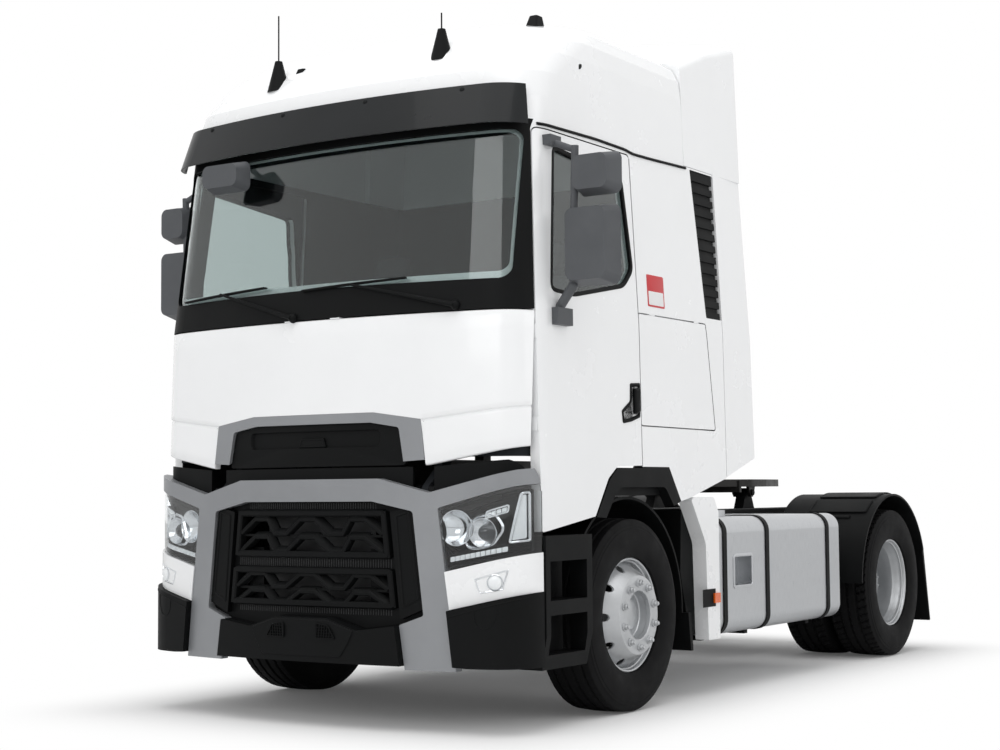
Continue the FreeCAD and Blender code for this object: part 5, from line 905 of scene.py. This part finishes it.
cabFittings = dict(
    screws=(-0.835, -0.275, 0.275, 0.835), screwHeight=3.150,
    wipers=(((-0.125, 2.058), (-0.66, 2.222), (-0.981, 2.204), (-0.340, 2.232)),
            ((0.843, 2.068), (0.235, 2.208), (-0.073, 2.196), (0.560, 2.220))),
    rubber=[(-0.003, -0.011), (-0.006, 0.004), (0.006, 0.004), (0.003, -0.011)],
    roofLamp=[(-0.03, 0), (-0.03, 0.040), (0.03, 0.040), (0.05, 0.034), (0.058, 0.0)],
    roofLampPlace=(1.085, -1.92, 3.35), roofLampWay=(0.9, -0.25, 0.3))
visorSkin = skin(dict(heights=(2.96, 3.172), noses=(1.190, 1.112), halves=(1.164, 1.142)))


def wiper(pivot, elbow, first, last):
    # arm from its pivot to the blade's middle, the blade bowed over the glass
    arm = rounded([pivot, (np.add(pivot, elbow) / 2).tolist(), elbow], 0.05, 24, closed=False)
    armLine = cabSkin(arm[:, 0], arm[:, 1], np.linspace(0.022, 0.030, 24))
    blade = evenly([first, last], 30)
    bow = 0.012 + 0.010 * np.sin(np.linspace(0, math.pi, 30))
    spine = cabSkin(blade[:, 0], blade[:, 1], bow)
    cap = dome(cabSkin, *pivot, 0.026, 0.0, 0.030)
    return joinShapes(tube(armLine, np.linspace(0.013, 0.006, 24), 10), tube(spine, 0.006, 8),
                      bead(blade, cabFittings["rubber"], cabSkin), cap)


screws = [dome(visorSkin, x, cabFittings["screwHeight"], 0.013, 0.0, 0.007, 20) for x in cabFittings["screws"]]
roofLamp = turned(cabFittings["roofLamp"], 28, cabFittings["roofLampPlace"], cabFittings["roofLampWay"])
addPiece("visor_screws", joinShapes(*screws), "dark_plastic", "cab", 40)
addPiece("wipers", joinShapes(*[wiper(*plan) for plan in cabFittings["wipers"]]), "black_plastic", "cab", 35)
addPiece("roof_side_lamps", mirrored(roofLamp), "black_plastic", "cab", 40)


# Cab sides, as (distance behind the front axle, height): door handles, rubber strips, blank label

cabSide = dict(
    grip=[(-0.150, 1.575), (-0.140, 1.508), (-0.050, 1.520), (0.044, 1.545), (0.050, 1.728), (-0.055, 1.722),
          (-0.060, 1.628)],
    gripRings=((0, -0.004), (0, 0.003), (0.004, 0.006), (0.012, 0.006), (0.016, 0.001), (0.020, 0.0)),
    pull=[(-0.030, 1.560), (0.030, 1.570), (0.034, 1.700), (-0.026, 1.695)],
    pullRings=((0, 0.0), (0, 0.012), (0.006, 0.018), (0.014, 0.020)),
    window=[(-0.722, 2.880), (-0.040, 2.815), (0.022, 2.330), (-0.080, 2.235), (-0.600, 2.140),
            (-0.812, 2.150)],
    seal=[(-0.012, -0.014), (-0.012, 0.001), (-0.006, 0.003), (0.008, 0.003), (0.012, -0.003), (0.012, -0.014)],
    gutter=[(-0.84, 2.978), (-0.30, 2.988), (0.02, 2.983), (0.10, 2.972), (0.30, 2.976), (0.72, 2.990)],
    gutterForm=[(-0.007, -0.002), (-0.007, 0.006), (0.0, 0.009), (0.007, 0.006), (0.007, -0.002)],
    label=[(0.175, 2.150), (0.365, 2.150), (0.365, 2.325), (0.175, 2.325)],
    labelRings=((0, -0.001), (0, 0.0012), (0.001, 0.0014)),
    field=[(0.187, 2.160), (0.353, 2.160), (0.353, 2.235), (0.187, 2.235)],
    fieldRings=((0, 0.0), (0, 0.0020), (0.001, 0.0022)))


def makeCabSide(sideName, place):
    grip = relief(rounded(cabSide["grip"], 0.010, 140), cabSide["gripRings"], place)
    pull = relief(rounded(cabSide["pull"], 0.012, 80), cabSide["pullRings"], place)
    seal = bead(rounded(cabSide["window"], 0.04, 200), cabSide["seal"], place, closed=True)
    gutter = bead(rounded(cabSide["gutter"], 0.03, 90, closed=False), cabSide["gutterForm"], place)
    addPiece(f"door_handle_{sideName}", joinShapes(grip, pull), "black_plastic", f"door_{sideName}", 30)
    addPiece(f"window_seal_{sideName}", seal, "black_plastic", f"door_{sideName}", 35)
    addPiece(f"roof_gutter_{sideName}", gutter, "black_plastic", "cab", 35)


makeCabSide("left", sideSkin(1))
makeCabSide("right", sideSkin(-1))
# cut vinyl film, red and white
redVinyl, whiteVinyl = (coated(name, dict(
    colour=colour, shade=shade, roughness=(0.3, 0.4), mottleMm=200, grainMm=4, depthMm=0.05, strength=0.1))
    for name, colour, shade in (("cutVinylRed", "C8242B", "BD2027"), ("cutVinylWhite", "EDEDED", "E4E4E4")))
label = relief(rounded(cabSide["label"], 0.006, 60), cabSide["labelRings"], sideSkin(1))
field = relief(rounded(cabSide["field"], 0.004, 60), cabSide["fieldRings"], sideSkin(1))
addPiece("side_label", label, "white_paint", "cab", 30, finish=redVinyl)
addPiece("side_label_field", field, "white_paint", "cab", 30, finish=whiteVinyl)
print("cab details made")


# Tank, guards, markers and catwalk

tankStep = dict(
    out=1.205, edge=[(-0.348, 0.593), (-0.102, 0.593), (-0.102, 0.777), (-0.348, 0.777)],
    form=[(-0.010, -0.030), (-0.010, 0.003), (-0.004, 0.005), (0.006, 0.005), (0.010, 0.002), (0.010, -0.030)])


def tankSide(along, height, lift):
    return np.stack([tankStep["out"] + lift, along, height + 0 * lift], -1)


stepFrame = bead(rounded(tankStep["edge"], 0.022, 120), tankStep["form"], tankSide, closed=True)
addPiece("tank_step_frame", stepFrame, "tank_aluminium", "chassis", 35)

treadPlate = dict(x=(0.78, 1.11), y=(-0.49, -0.16), z=1.0005, thick=0.003, pitch=0.026, rise=0.0018, grid=0.004)


def chequer():
    # tread plate: a grid whose height rises in crossed lens-shaped bumps
    plan = treadPlate
    u, v = np.meshgrid(np.arange(*plan["x"], plan["grid"]), np.arange(*plan["y"], plan["grid"]), indexing="ij")
    a, b = (u + v) / plan["pitch"], (u - v) / plan["pitch"]
    cell = (np.floor(a) + np.floor(b)) % 2
    along, over = np.where(cell, a % 1, b % 1) - 0.5, np.where(cell, b % 1, a % 1) - 0.5
    rise = plan["rise"] * np.clip(1 - (along / 0.46) ** 2 - (over / 0.16) ** 2, 0, 1) ** 0.5
    top = np.stack([u, v, plan["z"] + plan["thick"] + rise], -1)
    flat = np.stack([u, v, np.full(u.shape, plan["z"])], -1)
    rows, columns = u.shape
    edge = np.concatenate([np.arange(columns), np.arange(1, rows) * columns + columns - 1,
                           (rows - 1) * columns + np.arange(columns - 1)[::-1],
                           np.arange(1, rows - 1)[::-1] * columns])
    after = np.roll(edge, -1)
    wall = np.stack([edge, after, after + rows * columns, edge + rows * columns], -1)
    faces = gridFaces(rows, columns)
    points = np.concatenate([top.reshape(-1, 3), flat.reshape(-1, 3)])
    return points, faces.tolist() + (faces + rows * columns).tolist() + wall.tolist()


addPiece("tank_tread_plate", chequer(), "tank_aluminium", "chassis", 20)

guardPad = dict(radius=0.614, x=(0.78, 1.20), spans=((52, 68), (72, 88), (92, 108), (112, 128)),
                rings=((0, -0.004), (0, 0.006), (0.006, 0.012), (0.014, 0.012)))


def guardSkin(across, angle, lift):
    # the rear mudguard's arc: its angle rises from the front over the top
    radius = guardPad["radius"] + lift
    return np.stack([across, rearAxle - radius * np.cos(angle), wheel["high"] + radius * np.sin(angle)], -1)


def guardPads():
    near, far = guardPad["x"]
    shapes = []
    for start, stop in np.radians(guardPad["spans"]):
        loop = rounded([(near, start), (far, start), (far, stop), (near, stop)], 0.03, 80)
        shapes.append(relief(loop, guardPad["rings"], guardSkin))
    return joinShapes(*shapes)


lampBase = block((1.2101, -0.76, 0.500), (1.2135, -0.60, 0.600), 0.0015)
tailLamp = dict(form=[(-0.02, 0), (-0.02, 0.045), (0.012, 0.045), (0.020, 0.038), (0.022, 0)],
                across=(0.36, 0.48), y=2.774, z=0.80)
tailLamps = [turned(tailLamp["form"], 32, (x, tailLamp["y"], tailLamp["z"]), (0, 1, 0))
             for x in tailLamp["across"]]
# red polycarbonate of the tail lamps
redLens = coated("redPolycarbonate", dict(
    colour="B4161C", shade="9C1218", roughness=(0.15, 0.25), mottleMm=40, grainMm=4,
    depthMm=0.4, strength=0.3, coat=0.6))
addPiece("guard_pads", mirrored(guardPads()), "black_plastic", "chassis", 30)
addPiece("marker_bases", mirrored(lampBase), "black_plastic", "chassis", 30)
addPiece("tail_lamps", mirrored(joinShapes(*tailLamps)), "orange_lens", "chassis", 40, finish=redLens)

catwalk = dict(bearerX=(-0.43, 0.43), bearerHalf=0.045, bearerY=(-0.30, 2.62), bearerZ=(0.949, 1.030),
               tieY=(0.02, 0.34, 1.30, 1.95, 2.35), tieHalf=0.40, tieZ=(0.960, 1.010), tieWide=0.08,
               slatHalf=0.62, slatY=(-0.20, 0.62), slatPitch=0.045, slatWide=0.022, slatZ=(1.028, 1.044))


def bar(x, y, z, ease):
    # a block given by its reach along each axis
    return block(*[tuple(reach[end] for reach in (x, y, z)) for end in (0, 1)], ease)


def makeCatwalk():
    # two bearers on the frame rails, ties between them and slats across behind the cab
    plan = catwalk
    half, tie, slat = (plan[key] for key in ("bearerHalf", "tieHalf", "slatHalf"))
    bars = [bar((x - half, x + half), plan["bearerY"], plan["bearerZ"], 0.006) for x in plan["bearerX"]]
    bars += [bar((-tie, tie), (y, y + plan["tieWide"]), plan["tieZ"], 0.006) for y in plan["tieY"]]
    bars += [bar((-slat, slat), (y, y + plan["slatWide"]), plan["slatZ"], 0.003)
             for y in np.arange(*plan["slatY"], plan["slatPitch"])]
    addPiece("frame_catwalk", joinShapes(*bars), "chassis_paint", "chassis", 35)


makeCatwalk()
print("tank, guards and markers made")


# Seats and bunk: padded cloth

def swell(piece, most):
    # pressure pushes the pad's skin out for 20 frames; no point moves further than the given distance
    mesh = piece.data
    before = np.empty(len(mesh.vertices) * 3)
    mesh.vertices.foreach_get("co", before)
    cloth = piece.modifiers.new("cloth", "CLOTH")
    cloth.settings.use_pressure = True
    cloth.settings.uniform_pressure_force = 4
    cloth.settings.effector_weights.gravity = 0
    cloth.point_cache.frame_start, cloth.point_cache.frame_end = 1, 20
    for number in range(1, 21):
        bpy.context.scene.frame_set(number)
    swollen = bpy.data.meshes.new_from_object(piece.evaluated_get(bpy.context.evaluated_depsgraph_get()))
    after = np.empty(len(swollen.vertices) * 3)
    swollen.vertices.foreach_get("co", after)
    way = (after - before).reshape(-1, 3)
    size = np.linalg.norm(way, axis=1, keepdims=True) + 1e-9
    way *= np.minimum(size, most) / size
    piece.modifiers.clear()
    mesh.vertices.foreach_set("co", (before.reshape(-1, 3) + way).ravel())
    bpy.context.scene.frame_set(1)


def easePad(piece):
    soft = piece.modifiers.new("ease", "SUBSURF")
    soft.levels = soft.render_levels = 1


def padded(name, loop, rings, surface, coarse, replaced=()):
    # a crowned closed form, swollen by a short cloth simulation and eased by one subdivision
    piece = addPiece(name, relief(rounded(loop, 0.05, 120), rings, surface), "seat_fabric", "cab", 60, replaced)
    remesh = piece.modifiers.new("remesh", "REMESH")
    remesh.mode = "VOXEL"
    remesh.voxel_size = 0.006 * coarse
    dense = bpy.data.meshes.new_from_object(piece.evaluated_get(bpy.context.evaluated_depsgraph_get()))
    piece.modifiers.clear()
    piece.data = dense
    swell(piece, 0.022)
    dense.polygons.foreach_set("use_smooth", np.ones(len(dense.polygons), bool))
    dense.update()
    easePad(piece)
    return piece


def copyAcross(piece, name):
    # the same pad on the other side of the cab
    mesh = piece.data.copy()
    place = np.empty(len(mesh.vertices) * 3)
    mesh.vertices.foreach_get("co", place)
    place = place.reshape(-1, 3) * (-1, 1, 1)
    mesh.vertices.foreach_set("co", place.ravel())
    mesh.flip_normals()
    other = bpy.data.objects.new(name, mesh)
    bpy.context.scene.collection.objects.link(other)
    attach(other, "cab")
    easePad(other)


seat = dict(
    x=0.54, backFoot=(-1.385, 1.84), backUp=0.97, backLean=0.13, cushionMiddle=-1.67, cushionLean=0.02,
    cushion=[(-0.235, -1.91), (0.235, -1.91), (0.235, -1.44), (-0.235, -1.44)],
    cushionRings=((0.02, 1.715), (0.0, 1.745), (0.0, 1.800), (0.03, 1.828), (0.09, 1.832), (0.12, 1.818),
                  (0.16, 1.820)),
    back=[(-0.225, 0.02), (0.225, 0.02), (0.205, 0.53), (-0.205, 0.53)],
    backRings=((0.02, -0.045), (0.0, -0.02), (0.0, 0.035), (0.03, 0.062), (0.07, 0.066), (0.10, 0.052),
               (0.14, 0.054)),
    headrest=[(-0.125, 0.57), (0.125, 0.57), (0.11, 0.735), (-0.11, 0.735)],
    headrestRings=((0.015, -0.040), (0.0, -0.02), (0.0, 0.02), (0.02, 0.038), (0.05, 0.040)),
    pedestal=(((-0.20, -1.86, 1.452), (0.20, -1.46, 1.56), 0.02),
              ((-0.13, -1.80, 1.55), (0.13, -1.52, 1.705), 0.02),
              ((-0.215, -1.89, 1.69), (0.215, -1.45, 1.722), 0.01)))
bunk = dict(
    mattress=[(-1.08, -1.17), (1.08, -1.17), (1.08, -0.53), (-1.08, -0.53)],
    rings=((0.02, 2.125), (0.0, 2.15), (0.0, 2.225), (0.03, 2.245), (0.08, 2.247), (0.12, 2.235), (0.2, 2.24)),
    box=(((-1.10, -1.195, 1.452), (1.10, -1.165, 2.120), 0.01),
         ((-1.10, -1.19, 2.085), (1.10, -0.52, 2.122), 0.008)))


def overSeat(across, along, height):
    lean = seat["cushionLean"] * (along - seat["cushionMiddle"])
    return np.stack([seat["x"] + across, along, height + lean], -1)


def overBack(across, up, lift):
    # a plane that leans back: lift is forwards out of it
    y, z = seat["backFoot"]
    return np.stack([seat["x"] + across, y + up * seat["backLean"] - lift,
                     z + up * seat["backUp"] + 0 * lift], -1)


def overBunk(across, along, height):
    return np.stack([across, along, 0 * across + height], -1)


for name, surface, replaced in (("cushion", overSeat, ("seats",)), ("back", overBack, ()),
                                ("headrest", overBack, ())):
    pad = padded(f"seat_{name}_left", seat[name], seat[name + "Rings"], surface, 1.0, replaced)
    copyAcross(pad, f"seat_{name}_right")
padded("bunk_mattress", bunk["mattress"], bunk["rings"], overBunk, 2.0, ("bunk",))
besideMiddle = np.array((seat["x"], 0, 0))
pedestal = joinShapes(*[block(low + besideMiddle, high + besideMiddle, ease)
                        for low, high, ease in seat["pedestal"]])
addPiece("seat_pedestals", mirrored(pedestal), "dark_plastic", "cab", 30)
addPiece("bunk_box", joinShapes(*[block(*one) for one in bunk["box"]]), "dark_plastic", "cab", 30)
print("seats and bunk made")


# Studio: camera, lamps, floor

view = dict(place=(5.66, -9.511, 1.156), azimuth=33.53, rise=3.87, roll=-0.48, focalPixels=1730.4)


def makeCamera():
    azimuth, rise, roll = (math.radians(view[key]) for key in ("azimuth", "rise", "roll"))
    ahead = np.array([-math.sin(azimuth) * math.cos(rise), math.cos(azimuth) * math.cos(rise), math.sin(rise)])
    right = np.cross(ahead, (0, 0, 1))
    right /= np.linalg.norm(right)
    up = np.cross(right, ahead)
    across = right * math.cos(roll) + up * math.sin(roll)
    upwards = -right * math.sin(roll) + up * math.cos(roll)
    lens = bpy.data.cameras.new("photographer")
    lens.sensor_width = 36
    lens.lens = view["focalPixels"] * 36 / 1000
    lens.clip_end = 200
    camera = bpy.data.objects.new("photographer", lens)
    turn = Matrix((across, upwards, -ahead)).transposed().to_4x4()
    camera.matrix_world = Matrix.Translation(view["place"]) @ turn
    bpy.context.scene.collection.objects.link(camera)
    bpy.context.scene.camera = camera


makeCamera()

lamps = {
    "overheadSoftbox": dict(place=(1.0, -3.0, 9.0), aim=(0, 0.5, 1.5), size=(8, 8), watts=300),
    "frontSoftbox": dict(place=(1.5, -11.0, 5.0), aim=(0, -1.5, 1.8), size=(6, 4), watts=150),
    "sideSoftbox": dict(place=(10.0, -1.0, 5.0), aim=(1.0, 0.8, 1.6), size=(6, 5), watts=110),
}


def makeLamps():
    for name, plan in lamps.items():
        light = bpy.data.lights.new(name, "AREA")
        light.shape = "RECTANGLE"
        light.size, light.size_y = plan["size"]
        light.energy = plan["watts"]
        lamp = bpy.data.objects.new(name, light)
        away = np.array(plan["place"]) - np.array(plan["aim"])
        away = away / np.linalg.norm(away)
        right = np.cross((0, 0, 1), away)
        right /= np.linalg.norm(right)
        up = np.cross(away, right)
        lamp.matrix_world = Matrix.Translation(plan["place"]) @ Matrix((right, up, away)).transposed().to_4x4()
        bpy.context.scene.collection.objects.link(lamp)


makeLamps()


def makeWorld():
    world = bpy.data.worlds.new("studio")
    bpy.context.scene.world = world
    world.use_nodes = True
    tree = world.node_tree
    tree.nodes.clear()
    ray = addNode(tree, "LightPath")
    seen = addNode(tree, "Math", {0: ray.outputs["Is Camera Ray"], 1: ray.outputs["Is Glossy Ray"]},
                   operation="MAXIMUM")
    seen = addNode(tree, "Math", {0: seen.outputs[0], 1: ray.outputs["Is Transmission Ray"]},
                   operation="MAXIMUM")
    strength = addNode(tree, "MapRange", {"Value": seen.outputs[0], "To Min": 0.62, "To Max": 1.0})
    light = addNode(tree, "Background", {"Color": (1, 1, 1, 1), "Strength": strength.outputs["Result"]})
    addNode(tree, "OutputWorld", {"Surface": light.outputs[0]})


makeWorld()


def makeFloor():
    # white paper floor: lit as paper near the truck, fading to plain white far from it
    material, tree = newMaterial("paperFloor")
    place = addNode(tree, "TexCoord").outputs["Object"]
    # distance outside the truck's own outline on the floor: the shadow stays close to it
    outside = addNode(tree, "VectorMath", {0: place}, operation="ABSOLUTE")
    outside = addNode(tree, "VectorMath", {0: outside.outputs[0], 1: (1.15, 2.70, 0)}, operation="SUBTRACT")
    outside = addNode(tree, "VectorMath", {0: outside.outputs[0], 1: (0, 0, 0)}, operation="MAXIMUM")
    distance = addNode(tree, "VectorMath", {0: outside.outputs[0]}, operation="LENGTH")
    far = addNode(tree, "MapRange", {"Value": distance.outputs["Value"], "From Min": -0.25, "From Max": 1.0},
                  interpolation_type="SMOOTHERSTEP")
    paper = addNode(tree, "BsdfDiffuse", {"Color": linear("FAFAFA")})
    ray = addNode(tree, "LightPath")
    glow = addNode(tree, "Emission", {"Color": (1, 1, 1, 1), "Strength": 1.0})
    fade = addNode(tree, "Math", {0: far.outputs["Result"], 1: ray.outputs["Is Camera Ray"]},
                   operation="MULTIPLY")
    both = addNode(tree, "MixShader", {"Fac": fade.outputs[0], 1: paper.outputs[0], 2: glow.outputs[0]})
    addNode(tree, "OutputMaterial", {"Surface": both.outputs[0]})
    mesh = bpy.data.meshes.new("floor")
    size = 60
    corners = [(-size, -size, 0), (size, -size, 0), (size, size, 0), (-size, size, 0)]
    mesh.from_pydata(corners, [], [(0, 1, 2, 3)])
    mesh.materials.append(material)
    floor = bpy.data.objects.new("floor", mesh)
    bpy.context.scene.collection.objects.link(floor)


makeFloor()
bpy.context.scene.view_settings.view_transform = "Standard"
